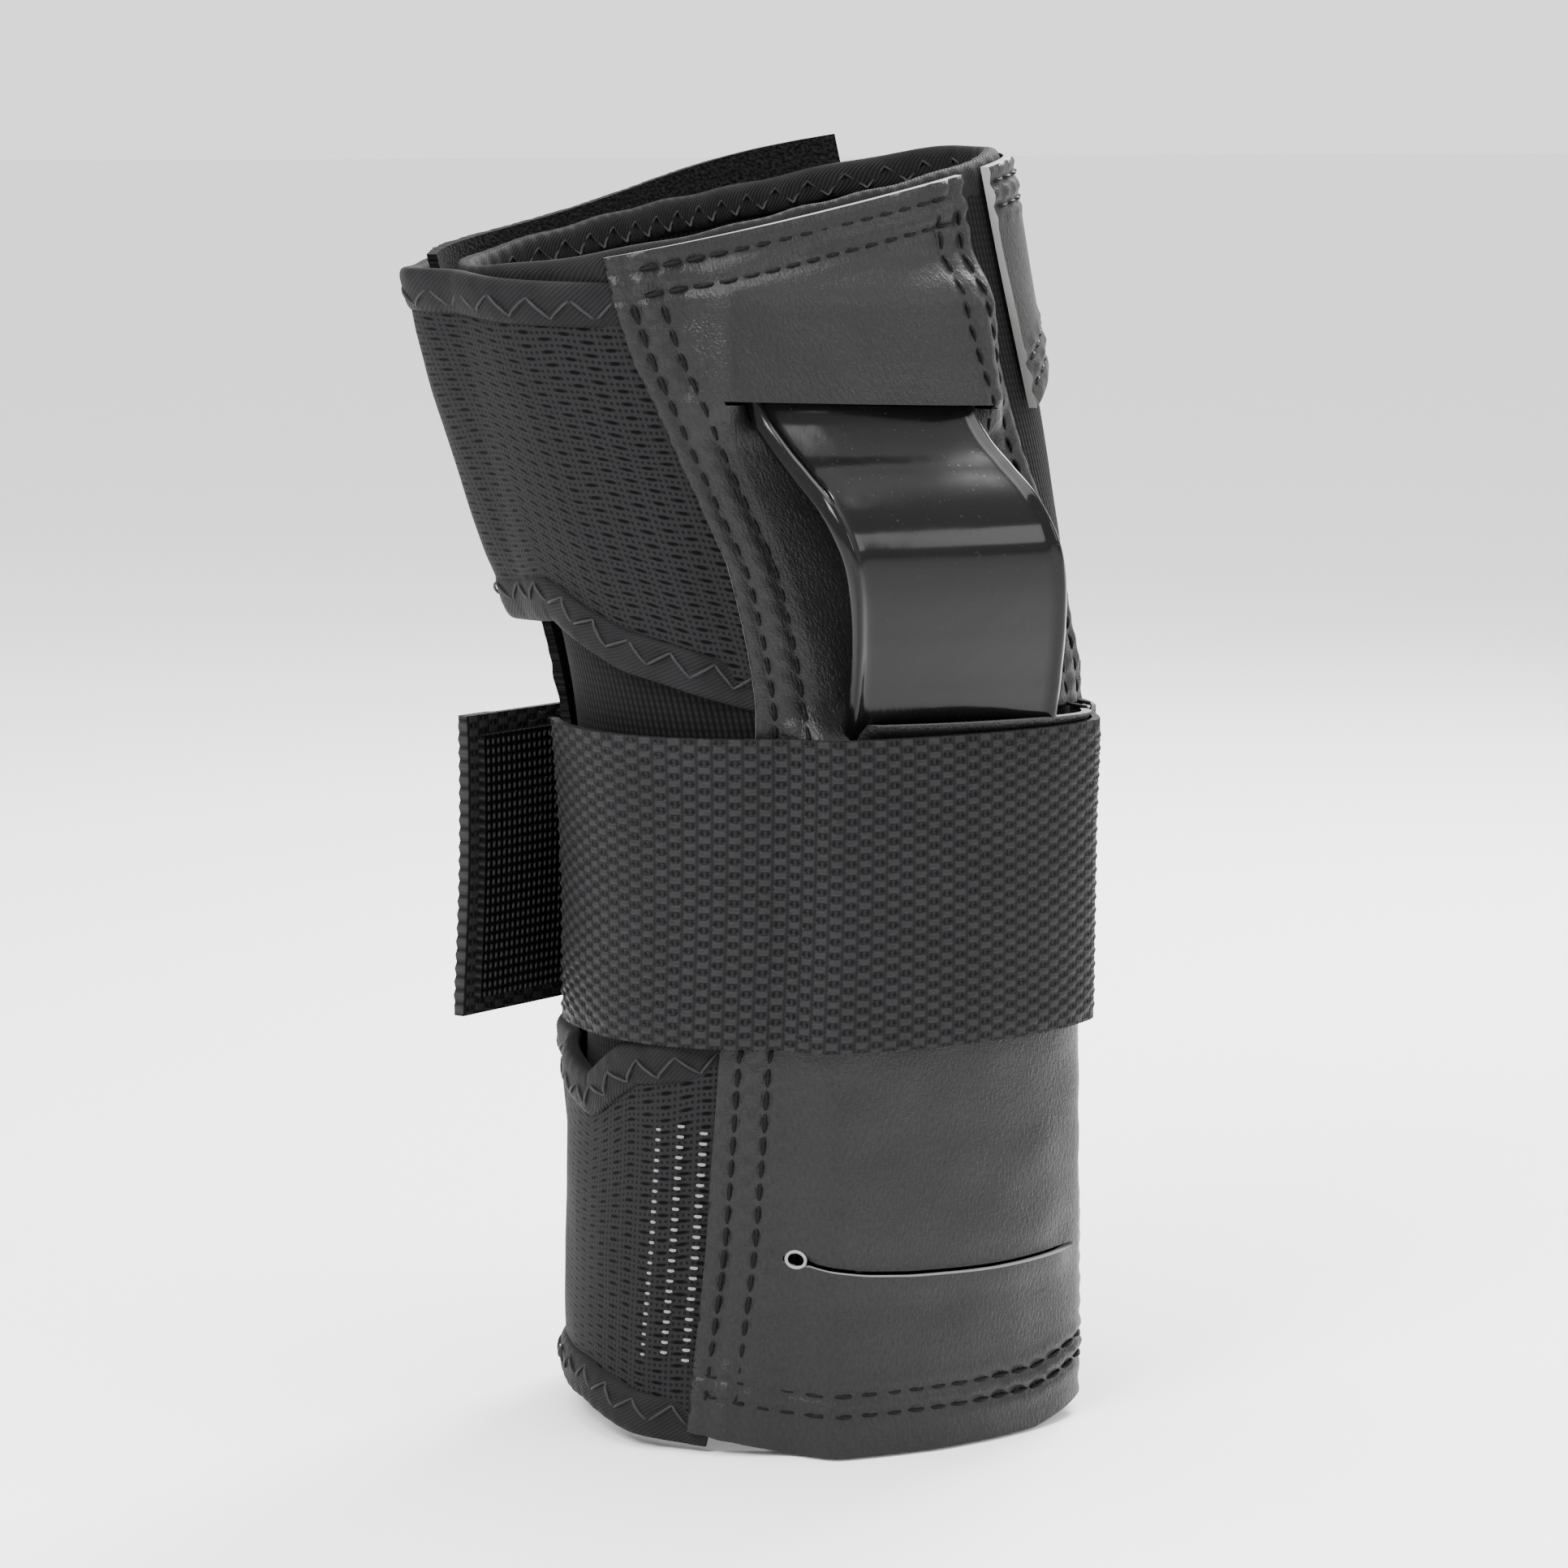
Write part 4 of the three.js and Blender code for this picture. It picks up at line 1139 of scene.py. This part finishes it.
def thumb_leather():
    """The leather strip over the thumb's side, above the thumb hole."""
    u = np.linspace(0, 1, 90)[:, None]
    angle = THUMB_LEATHER_FROM + THUMB_LEATHER_ROUND * u
    low = thumb_leather_foot(u)
    z = low + (rim(angle) - 0.4 - low) * np.linspace(0, 1, 44)[None, :]
    far = s_at(angle, z)
    dents = sum(groove(edge - inset, far) for edge in (rim(angle) - z, z - low) for inset in THUMB_ROWS)
    ripples = 0.3 * ripple(far, z, 21, 26)
    obj = cloth(
        "thumb_leather", angle, z, SKIN_IN + 0.25 + 0.1 * ripples, SKIN + dents + 0.3 * ripples,
        [LEATHER, CUT_EDGE], outside_hole(angle, z),
    )
    rows = []
    spread = np.linspace(0.02, 0.98, 30)
    a = THUMB_LEATHER_FROM + THUMB_LEATHER_ROUND * spread
    for inset in THUMB_ROWS:
        for z_line in (rim(a) - inset, thumb_leather_foot(spread) + inset):
            rows += row_of_stitches(np.stack([s_at(a, z_line), z_line], axis=1), STITCH_PITCH)
    threads = stitches("thumb_leather_stitches", rows, level(SKIN_IN + 0.1 + SKIN), DARK_THREAD, 0.36, 0.2)
    place(obj, "leather", "thumb_strap_leather")
    place(threads, "leather")


# ---- the splint ------------------------------------------------------------------------------

ARCH = np.array([
    (33.5, 96), (33.2, 112), (34.2, 121), (38.6, 129), (44.8, 138.5), (49.2, 146.5),
    (50.2, 152.5), (47, 158.5), (41, 163), (35, 167.5), (30.5, 175), (29, 186),
])  # how far in front of the sleeve's axis the splint runs, and at what height
SPLINT_LOW = 14.0
SPLINT_TAIL = 0.42  # the share of its length below the arch
SPLINT_SEAT = 4.85  # how far outside the wall the middle of its hidden ends lies


def arch_line(count=600):
    """Evenly spaced points on the smooth curve through the arch's points."""
    ends = np.vstack([2 * ARCH[0] - ARCH[1], ARCH, 2 * ARCH[-1] - ARCH[-2]])
    curve = []
    for k in range(len(ARCH) - 1):
        a, b, c, d = ends[k:k + 4]
        for t in np.linspace(0, 1, 40, endpoint=k == len(ARCH) - 2):
            bend = (2 * a - 5 * b + 4 * c - d) * t**2 + (3 * b - a - 3 * c + d) * t**3
            curve.append(0.5 * (2 * b + (c - a) * t + bend))
    long = np.linalg.norm(np.diff(curve, axis=0), axis=1).sum()
    return even(np.array(curve), long / count)[0]


def palm_angle_at_x(x, z):
    """The angle on the palm side where the inner wall is at x."""
    low, high = np.full(x.shape, 180.0), np.full(x.shape, 360.0)
    for _ in range(24):
        middle = (low + high) / 2
        left = inner(middle, z)[..., 0] < x
        low, high = np.where(left, middle, low), np.where(left, high, middle)
    return low


def splint_surface(u, t):
    """The splint's mid surface in millimetres: t runs up it and u across it, from -1 to 1."""
    line = arch_line()
    share = np.clip((t - SPLINT_TAIL) / (1 - SPLINT_TAIL), 0, 1) * (len(line) - 1)
    depth = np.interp(share, np.arange(len(line)), line[:, 0])
    height = np.interp(share, np.arange(len(line)), line[:, 1])
    tail = SPLINT_LOW + (ARCH[0, 1] - SPLINT_LOW) * t / SPLINT_TAIL
    z = np.where(t < SPLINT_TAIL, tail, height)
    x = splint_centre(z) + SPLINT_HALF * u
    seated = wall(palm_angle_at_x(x, z), z, np.full(z.shape, SPLINT_SEAT)) / MM
    raised = np.stack([x, -depth + 0.8 * u * u, z], axis=-1) + SHIFT
    lifted = (smooth(z, 110, 124) * (1 - smooth(z, 166, 178)))[..., None]
    return seated * (1 - lifted) + raised * lifted


def quarter_round(x):
    """The height of a quarter circle of radius 1 that starts at 0, and 1 past it."""
    return np.sqrt(1 - (1 - np.clip(x, 0, 1)) ** 2)


def splint():
    """The molded plate, with a rounded bead along each side edge."""
    half_section = [1.0, 0.994, 0.98, 0.965, 0.95, 0.93, 0.905, 0.88, 0.85, 0.8, 0.7, 0.55, 0.4, 0.2]
    across = np.array([-v for v in half_section] + [0.0] + half_section[::-1])
    t = np.linspace(0, 1, 320)
    u_grid, t_grid = np.meshgrid(across, t, indexing="ij")
    mid = splint_surface(u_grid, t_grid)
    along = unit(np.gradient(mid, axis=1))
    side = unit(np.gradient(mid, axis=0))
    out = unit(np.cross(side, along))
    out = np.where(out[..., 1:2] > 0, -out, out)
    inset = (1 - np.abs(u_grid)) * SPLINT_HALF
    bead = 0.75 * np.exp(-((inset - 1.5) / 0.85) ** 2)
    rounding = quarter_round(inset / 1.1)
    ending = quarter_round(np.minimum(t_grid, 1 - t_grid) * SPLINT_LONG / 1.2)
    half = SPLINT / 2 * np.minimum(rounding, ending) + 0.05
    outer = mid + out * (half + bead * rounding)[..., None]
    under = mid - out * half[..., None]
    uv = np.stack([u_grid * SPLINT_HALF, t_grid * SPLINT_LONG], axis=-1)
    obj = slab("palm_splint_plate", outer * MM, under * MM, uv, [POLISHED])
    place(obj, "splint", "palm_splint")


# ---- the flat pieces of cloth ----------------------------------------------------------------

def weave(x, y):
    """Height from 0 to 1 of the strap's coarse weave: staggered lozenges with pits between."""
    return 0.5 + 0.5 * np.cos(math.pi * x / WEAVE_X) * np.cos(2 * math.pi * y / WEAVE_Y)


THUMB_SIDE_FROM, THUMB_SIDE_TO = -14.0, 28.0  # degrees


def thumb_side_piece(name, low, high, columns, wide, paint, slot, relief):
    """A piece of cloth sewn to the lining on the thumb's side, from one height to another."""
    u = np.linspace(0, 1, columns)[:, None]
    heights = np.arange(low, high, 0.6)[None, :]
    angle, z = np.broadcast_arrays(THUMB_SIDE_FROM + (THUMB_SIDE_TO - THUMB_SIDE_FROM) * u, heights)
    obj = cloth(name, angle, z, SKIN_IN - 0.2, SKIN + relief(u * wide, angle, z), [paint])
    place(obj, slot, name)


def thumb_side():
    """The webbing and the mesh on the thumb's side, below the thumb hole."""
    wide = float(s_at(THUMB_SIDE_TO, 50) - s_at(THUMB_SIDE_FROM, 50))
    thumb_side_piece(
        "thumb_side_webbing", 10.0, 69.5, 60, wide, WEBBING, "webbing",
        lambda across, angle, z: weave(across, z) * 0.5,
    )
    thumb_side_piece(
        "thumb_side_mesh", 67.0, 128.0, 24, 30.0, MESH, "mesh",
        lambda across, angle, z: 0.15 * ripple(angle, z, 31, 16),
    )


PANEL_LEFT = [(-38, 1), (-37, 54), (-36, 108), (-35, 162), (-34, 217.5)]
PANEL_RIGHT = [(17, 1), (26, 54), (35, 106), (44, 156), (50, 198)]


def between(left, right, u, v):
    """(angle, z) at the share u of the way between two lines of (s, z) spots, and v along them."""
    left = on_line([back(*spot) for spot in left], v)
    right = on_line([back(*spot) for spot in right], v)
    spots = left * (1 - u)[..., None] + right * u[..., None]
    return spots[..., 0], spots[..., 1]


def loop_panel():
    """The loop panel over the back: fuzzy pile between two ribbed selvedges."""
    angle, z = between(PANEL_LEFT, PANEL_RIGHT, np.linspace(0, 1, 110)[:, None], np.linspace(0, 1, 240))
    s = s_at(angle, z)
    inset = np.minimum(s - s[:1], s[-1:] - s)
    rng = np.random.default_rng(41)
    fuzz = rng.uniform(-0.35, 0.35, z.shape) * smooth(inset, 2.5, 5.5)
    rib = 0.18 * np.cos(2 * math.pi * inset / 1.5) * (1 - smooth(inset, 4.0, 5.0))
    pile = 0.5 * smooth(inset, 4.0, 5.5) + 0.125 * ripple(s, z, 42, 5)
    obj = cloth(
        "loop_panel", angle, z, PANEL_IN, PANEL - 0.5 + pile + fuzz + rib, [PILE], outside_hole(angle, z),
    )
    place(obj, "loop", "back_loop_panel")


# ---- the closures ----------------------------------------------------------------------------

# Each flap: the s of its fold, its outline from the fold round its free end, the two edges of the
# mesh beside it, its seam's two offsets from the fold, the way across the fold, and its flat size.
FLAPS = {
    "upper": {
        "fold": 44.0,
        "outline": [
            (44, 192.5), (12, 200.5), (-16, 205), (-21.5, 204.2), (-25.2, 200), (-26.6, 195), (-27.5, 180),
            (-26.8, 166), (-24.5, 160), (-20, 156.2), (-15, 154.4), (12, 147.2), (44, 140.2),
        ],
        "high_side": [(180, 188), (-45, 187), (-31.8, 186.3)],
        "low_side": [(180, 146), (-45, 138), (-23.6, 131.0)],
        "seam": (3.4, 1.4),
        "toward": (0.35, 0.94, 0.0),
        "flat": (0.124, 0.047),
    },
    "lower": {
        "fold": 26.0,
        "outline": [
            (26, 62.5), (0, 62.5), (-20, 61.6), (-25.5, 60.4), (-29, 58.4), (-31.4, 54), (-33.2, 35),
            (-35.6, 17), (-35.2, 13), (-33, 10.3), (-29, 8.8), (0, 8.4), (26, 8.4),
        ],
        "high_side": [(180, 54), (-45, 61), (-28.4, 63.8)],
        "low_side": [(180, 13), (-45, 10), (-32.8, 8.7)],
        "seam": (2.0, 2.0),
        "toward": (0.8, 0.6, 0.0),
        "flat": (0.142, 0.047),
    },
}


MESH_ROWS = 52.0  # millimetres of knit from a closure's lower edge to its upper one
FOLD_FADE = 22.0  # how far past its fold a closure comes down from the flap to the sleeve


def leather_edge(z):
    """How far from the middle of the palm the leather's edge at the little finger's side is."""
    return np.interp(z, [spot[1] for spot in LEATHER_LEFT], [spot[0] for spot in LEATHER_LEFT])


def beside_leather(angle, z):
    """0 at the leather's edge on the little finger's side, 1 from 9 mm outside it."""
    return smooth(leather_edge(z) - (s_at(angle, z) - s_at(PALM, z)), 0, 9)


def side_spots(spots, away=0.0):
    """(s, z) spots of a side piece's edge: the first is given by its angle, the rest from the
    middle of the palm."""
    first = (float(s_at(spots[0][0], spots[0][1])), spots[0][1] + away)
    return [first] + [(from_palm(s, z)[0], z + away) for s, z in spots[1:]]


def closure_off(s, angle, z, fold):
    """Where a closure starts off the wall: higher on the flap, lower on the sleeve's side."""
    flap = cover(angle, z)
    side = SKIN_IN + (BACK_LIFT + 0.3) * over_panel(angle, z)
    share = smooth(s, fold, fold + FOLD_FADE)
    return flap * (1 - share) + side * share - 0.7 * (1 - beside_leather(angle, z))


def height_on(line, s):
    """The height of an edge line of (s, z) points at each s."""
    line = line[np.argsort(line[:, 0])]
    return np.interp(s, line[:, 0], line[:, 1])


def closure(name, flap):
    """A flap and the mesh on the little finger's side, with the tape round both."""
    fold = flap["fold"]
    outline = np.array(flap["outline"], float)
    high_side = side_spots(flap["high_side"], 4.0)
    low_side = side_spots(flap["low_side"], -4.0)
    high_line = np.array(high_side[::-1] + flap["outline"][:5], float)
    low_line = np.array(flap["outline"][-5:] + low_side, float)
    end = outline[4:-4]

    u, v = np.linspace(0, 1, 210)[:, None], np.linspace(0, 1, 80)
    end_z = np.linspace(low_line[0, 1], high_line[-1, 1], len(v))
    end_s = height_on(end[:, ::-1], end_z) + 0.5
    far_low, far_high = low_line[-1, 0], high_line[0, 0]
    s = end_s + (far_low + (far_high - far_low) * v - end_s) * u
    low_z, high_z = height_on(low_line, s), height_on(high_line, s)
    z = low_z + (high_z - low_z) * v
    angle = angle_at(s, z)
    edge = np.minimum(z - low_z, high_z - z)
    on_flap = 1 - smooth(s, fold, fold + FOLD_FADE)
    inside = smooth(edge, 1.5, 8) * smooth(s - end_s, 1, 8)
    puff = inside * (0.5 * on_flap + 0.2)
    slack = (0.3 + 0.8 * smooth(s, fold + 20, fold + 60)) * smooth(far_low - s, 10, 24)
    sag = slack * ripple(s, z, 51 + int(fold), 34) + 0.12 * ripple(s, z, 52, 12)
    crease = -0.5 * np.exp(-((s - fold) / 1.2) ** 2) * (1 - 0.5 * on_flap)
    thick = (1.5 + 0.9 * on_flap) * (0.6 + 0.4 * beside_leather(angle, z))
    thick = thick + puff * 0.6 + 0.5 * sag * inside + crease
    mesh = cloth(
        f"{name}_closure_mesh", angle, z, closure_off(s, angle, z, fold) + 0.4, thick, [MESH],
        rows=np.broadcast_to(v * MESH_ROWS, s.shape),
    )

    def tape_off(at_angle, at_z):
        return closure_off(s_at(at_angle, at_z), at_angle, at_z, fold) - 0.1

    def tape_depth(at_angle, at_z):
        return 1.5 + 1.8 * beside_leather(at_angle, at_z)

    path = rounded(high_side[::-1] + flap["outline"] + low_side, 0.8)
    tape = binding(f"{name}_closure_tape", path, tape_off, tape_depth, 61 + int(fold))

    def thread_off(at_angle, at_z):
        return tape_off(at_angle, at_z) + tape_depth(at_angle, at_z)

    inner_side = beside(even(path, 1.0)[0], 0.9)
    zig = stitches(f"{name}_closure_zigzag", zigzag(inner_side, 6.0, 3.2), thread_off, ZIGZAG_THREAD, 0.26)
    ends = (height_on(high_line, fold) - 6, height_on(low_line, fold) + 6)
    seam = np.array([(fold - offset, height) for offset, height in zip(flap["seam"], ends)])

    def seam_off(at_angle, at_z):
        return tape_off(at_angle, at_z) + 3.4

    row = stitches(f"{name}_closure_seam", row_of_stitches(seam, 2.6), seam_off, THREAD, 0.22, 0.15)
    for piece, slot in ((mesh, "mesh"), (tape, "binding"), (zig, "binding"), (row, "mesh")):
        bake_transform(piece)
    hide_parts(f"{name}_flap_mesh", f"{name}_side_mesh")
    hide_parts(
        f"{name}_flap_binding", f"{name}_side_high_binding", f"{name}_side_low_binding",
    )


def light_through_mesh():
    """Painted light: pale specks in rows beside the leather, for light that shows through the lower side
    mesh.
    """
    ends = []
    for row, (inset, width) in enumerate(((1.4, 1.0), (4.9, 0.9), (8.4, 0.7))):
        for z in np.arange(16.0 + 0.9 * (row % 2), 56, 1.75):
            s, _ = from_palm(leather_edge(z) - inset, z)
            ends.append(((s - width / 2, z), (s + width / 2, z)))
    ends = [tuple(to_angles(np.array(pair))) for pair in ends]
    # Painted light: these pale stitches stand for light seen through the mesh.
    loops = stitches("painted_light_specks", ends, level(SKIN_IN + 0.4 + 1.5), SEEN_THROUGH_LIGHT, 0.27, 0.1, 0.15)
    place(loops, "mesh")


def pile_fuzz():
    """Short curled fibres standing out of the loop panel."""
    rng = np.random.default_rng(43)
    count = 6500
    u, v = rng.uniform(0.07, 0.93, count), rng.uniform(0.01, 0.99, count)
    angle, z = between(PANEL_LEFT, PANEL_RIGHT, u, v)
    clear = hole_distance(angle, z) > 1.05
    angle, z = angle[clear], z[clear]
    t = np.linspace(0, 1, 4)[None, :]
    lean, reach = rng.uniform(0, 2 * math.pi, (2, len(z), 1))
    reach = 0.5 + 0.9 * reach / (2 * math.pi)
    angle_grid = angle[:, None] + np.cos(lean) * reach * t * 1.4
    z_grid = z[:, None] + np.sin(lean) * reach * t
    off = PANEL_IN + PANEL - 0.3 + 1.1 * np.sin(math.pi * (0.15 + 0.75 * t)) * (0.5 + 0.5 * reach)
    fuzz = strands(
        "loop_panel_fuzz", wall(angle_grid, z_grid, off), normal(angle_grid, z_grid), 0.07 * MM, FUZZ, 3, 0.6,
    )
    place(fuzz, "loop")


# Each flap's hook tape, between a line of (s, z) spots on its left and one on its right.
FLAP_HOOKS = {
    "upper": ([(-20, 164), (-18, 198)], [(4, 158), (4, 196)]),
    "lower": ([(-27, 18), (-24, 54)], [(-4, 17), (-4, 55)]),
}


def flap_hooks():
    """Hook tape sewn under the thumb end of each flap."""
    for name, (left, right) in FLAP_HOOKS.items():
        angle, z = between(left, right, np.linspace(0, 1, 50)[:, None], np.linspace(0, 1, 70))
        obj = cloth(f"{name}_flap_hook_tape", angle, z, cover(angle, z) - HOOK - 0.3, HOOK + 0.4, [HOOKS])
        place(obj, "hook", f"{name}_flap_hook", body=f"{name}_flap")


# ---- the wrist strap -------------------------------------------------------------------------

def strap_sheet(name, x, low, high, off, thick, paint, relief, start=0.0, step=WEAVE_Y / 4):
    """A stretch of the strap, or of what is sewn to it, with its relief on the outer face."""
    x_grid, z_grid = np.meshgrid(x, np.arange(low, high + step / 2, step), indexing="ij")
    uv = np.stack([x_grid - start, z_grid - low], axis=-1)
    outer = strap_point(x_grid, z_grid, off + thick + relief(x_grid, z_grid - low))
    return slab(name, outer, strap_point(x_grid, z_grid, off), uv, [paint])


def webbing_relief(x, y):
    """The weave, flatter along the two selvedges, and the hem at the tab's end."""
    inset = np.minimum(y, STRAP_HIGH - STRAP_LOW - y)
    body = smooth(inset, 0.8, 2.2)
    loops = 0.5 + 0.5 * np.cos(2 * math.pi * x / 1.3)
    height = 0.55 * weave(x, y) * body + 0.25 * loops * (1 - body) - 0.3
    left = STRAP_END - x
    hem = 0.9 * (1 - smooth(left, HEM - 0.4, HEM + 0.4)) * (0.4 + 0.6 * smooth(left, 0, 0.8))
    return height + hem


def label_relief(x, y):
    """The label's turned edges, the dent of its stitches, and a slight unevenness."""
    inside_x = np.minimum(x - LABEL_START, LABEL_START + LABEL_LENGTH - x)
    inset = np.minimum(inside_x, np.minimum(y, LABEL_HIGH - LABEL_LOW - y))
    turned = -0.3 * np.exp(-inset / 0.5)
    row = -0.12 * np.exp(-((inset - LABEL_BORDER) / 0.5) ** 2)
    return turned + row + 0.10 * ripple(x, y, 71, 18)


def strap():
    """The strap, its hook tape and its label, with their stitches."""
    step = WEAVE_X / 4
    shows = step * round(strap_x(STRAP_SHOWS) / step)
    start, main = (
        strap_sheet(name, x, STRAP_LOW, STRAP_HIGH, 0.0, STRAP - 0.2, WEBBING, webbing_relief)
        for name, x in (
            ("strap_start", np.arange(0, shows + step / 2, step)),
            ("wrist_strap_webbing", np.arange(shows, STRAP_END, step)),
        )
    )
    hooks = strap_sheet(
        "strap_hook_tape", np.linspace(strap_x(104), STRAP_END - 3, 120), STRAP_LOW + 3, STRAP_HIGH - 3,
        -HOOK - 0.3, HOOK + 0.4, HOOKS, lambda x, y: 0.0,
    )
    label = strap_sheet(
        "strap_label", LABEL_START + np.linspace(0, LABEL_LENGTH, 170), LABEL_LOW, LABEL_HIGH,
        STRAP - 0.1, 0.95, LABEL, label_relief, start=LABEL_START, step=0.6,
    )
    x0, x1 = LABEL_START + LABEL_BORDER, LABEL_START + LABEL_LENGTH - LABEL_BORDER
    z0, z1 = LABEL_LOW + LABEL_BORDER - 2, LABEL_HIGH - LABEL_BORDER + 2
    corners = [(x0, z0), (x1, z0), (x1, z1), (x0, z1), (x0, z0)]
    hem = [(STRAP_END - 6.5, STRAP_LOW + 2), (STRAP_END - 6.5, STRAP_HIGH - 2)]
    label_rows = strap_stitches("label_stitches", corners, STRAP + 0.80)
    hem_row = strap_stitches("tab_hem_stitches", hem, STRAP + 1.05)
    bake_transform(main)
    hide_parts("wrist_strap_tab", "sewn_wrist_strap")
    place(start, "webbing")
    place(hem_row, "webbing", body="strap_tab")
    place(hooks, "hook", "strap_hook_tape", body="strap_tab")
    place(label, "label", "strap_label", body="strap_tab")
    place(label_rows, "label", body="strap_tab")


def strap_stitches(name, corners, off):
    """A dashed row of stitches along straight lines in (x, z) on the strap."""
    ends = []
    for a, b in zip(corners, corners[1:]):
        a, b = np.array(a, float), np.array(b, float)
        count = max(1, int(np.linalg.norm(b - a) / 3.0))
        for k in range(count):
            ends.append((a + (b - a) * (k + 0.14) / count, a + (b - a) * (k + 0.86) / count))
    ends = np.array(ends)
    t = np.linspace(0, 1, 5)
    x = ends[:, None, 0, 0] * (1 - t) + ends[:, None, 1, 0] * t
    z = ends[:, None, 0, 1] * (1 - t) + ends[:, None, 1, 1] * t
    height = off - 0.25 + 0.4 * np.sin(math.pi * t)
    lines = strap_point(x, z, np.broadcast_to(height, x.shape))
    out = unit(strap_point(x, z, off + 1.0) - strap_point(x, z, off))
    return strands(name, lines, out, 0.22 * MM, THREAD)


# ---- what is kept from the CAD ---------------------------------------------------------------

def carried_over():
    """The back stay and the splint's backing lie hidden between layers."""
    for node, paint, slot in (
        ("back_stay", STAY_PLASTIC, "stay"),
        ("splint_pocket_backing", LINING, "lining"),
    ):
        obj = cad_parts[node]
        obj.data.materials.clear()
        obj.data.materials.append(paint)


lining()
rims()
thumb_roll()
palm_leather()
thumb_leather()
splint()
thumb_side()
loop_panel()
for flap_name, flap_shape in FLAPS.items():
    closure(flap_name, flap_shape)
light_through_mesh()
pile_fuzz()
flap_hooks()
strap()
carried_over()


# ---- floor, light and camera -----------------------------------------------------------------

CENTRE = Vector((CAD_BOX[0] + CAD_BOX[1]) / 2)


def aimed(name, data, location):
    """A new lamp or camera that faces the middle of the part."""
    obj = bpy.data.objects.new(name, data)
    bpy.context.scene.collection.objects.link(obj)
    obj.location = location
    obj.rotation_euler = (CENTRE - obj.location).to_track_quat("-Z", "Y").to_euler()
    return obj


def lamp(name, size, energy, location):
    """A square area lamp."""
    data = bpy.data.lights.new(name, "AREA")
    data.size = size
    data.energy = energy
    aimed(name, data, location)


def look_from(azimuth, elevation, distance):
    """A place to look at the part from: 0 degrees is the palm's side."""
    a, e = math.radians(azimuth), math.radians(elevation)
    direction = Vector((math.sin(a) * math.cos(e), -math.cos(a) * math.cos(e), math.sin(e)))
    return CENTRE + direction * distance


bpy.ops.mesh.primitive_plane_add(size=40.0, location=(0, 0, 0))
floor = bpy.context.object
floor.name = "floor"
floor.data.materials.append(Paint("pale floor", (0.9, 0.9, 0.9), 0.7).material)

lamp("key", 0.35, 13.0, look_from(-62, 40, 0.9))
lamp("fill", 0.5, 6.0, look_from(35, 25, 1.2))
lamp("back", 0.35, 18.0, look_from(125, 40, 1.0))
lamp("top", 0.7, 14.0, CENTRE + Vector((0, 0, 0.9)))

world = bpy.data.worlds.new("white room")
world.use_nodes = True
background = world.node_tree.nodes["Background"]
background.inputs["Color"].default_value = (1, 1, 1, 1)
background.inputs["Strength"].default_value = 1.7
bpy.context.scene.world = world

camera_data = bpy.data.cameras.new("camera")
camera_data.lens = 110
bpy.context.scene.camera = aimed("camera", camera_data, look_from(-27, 8, 0.81))
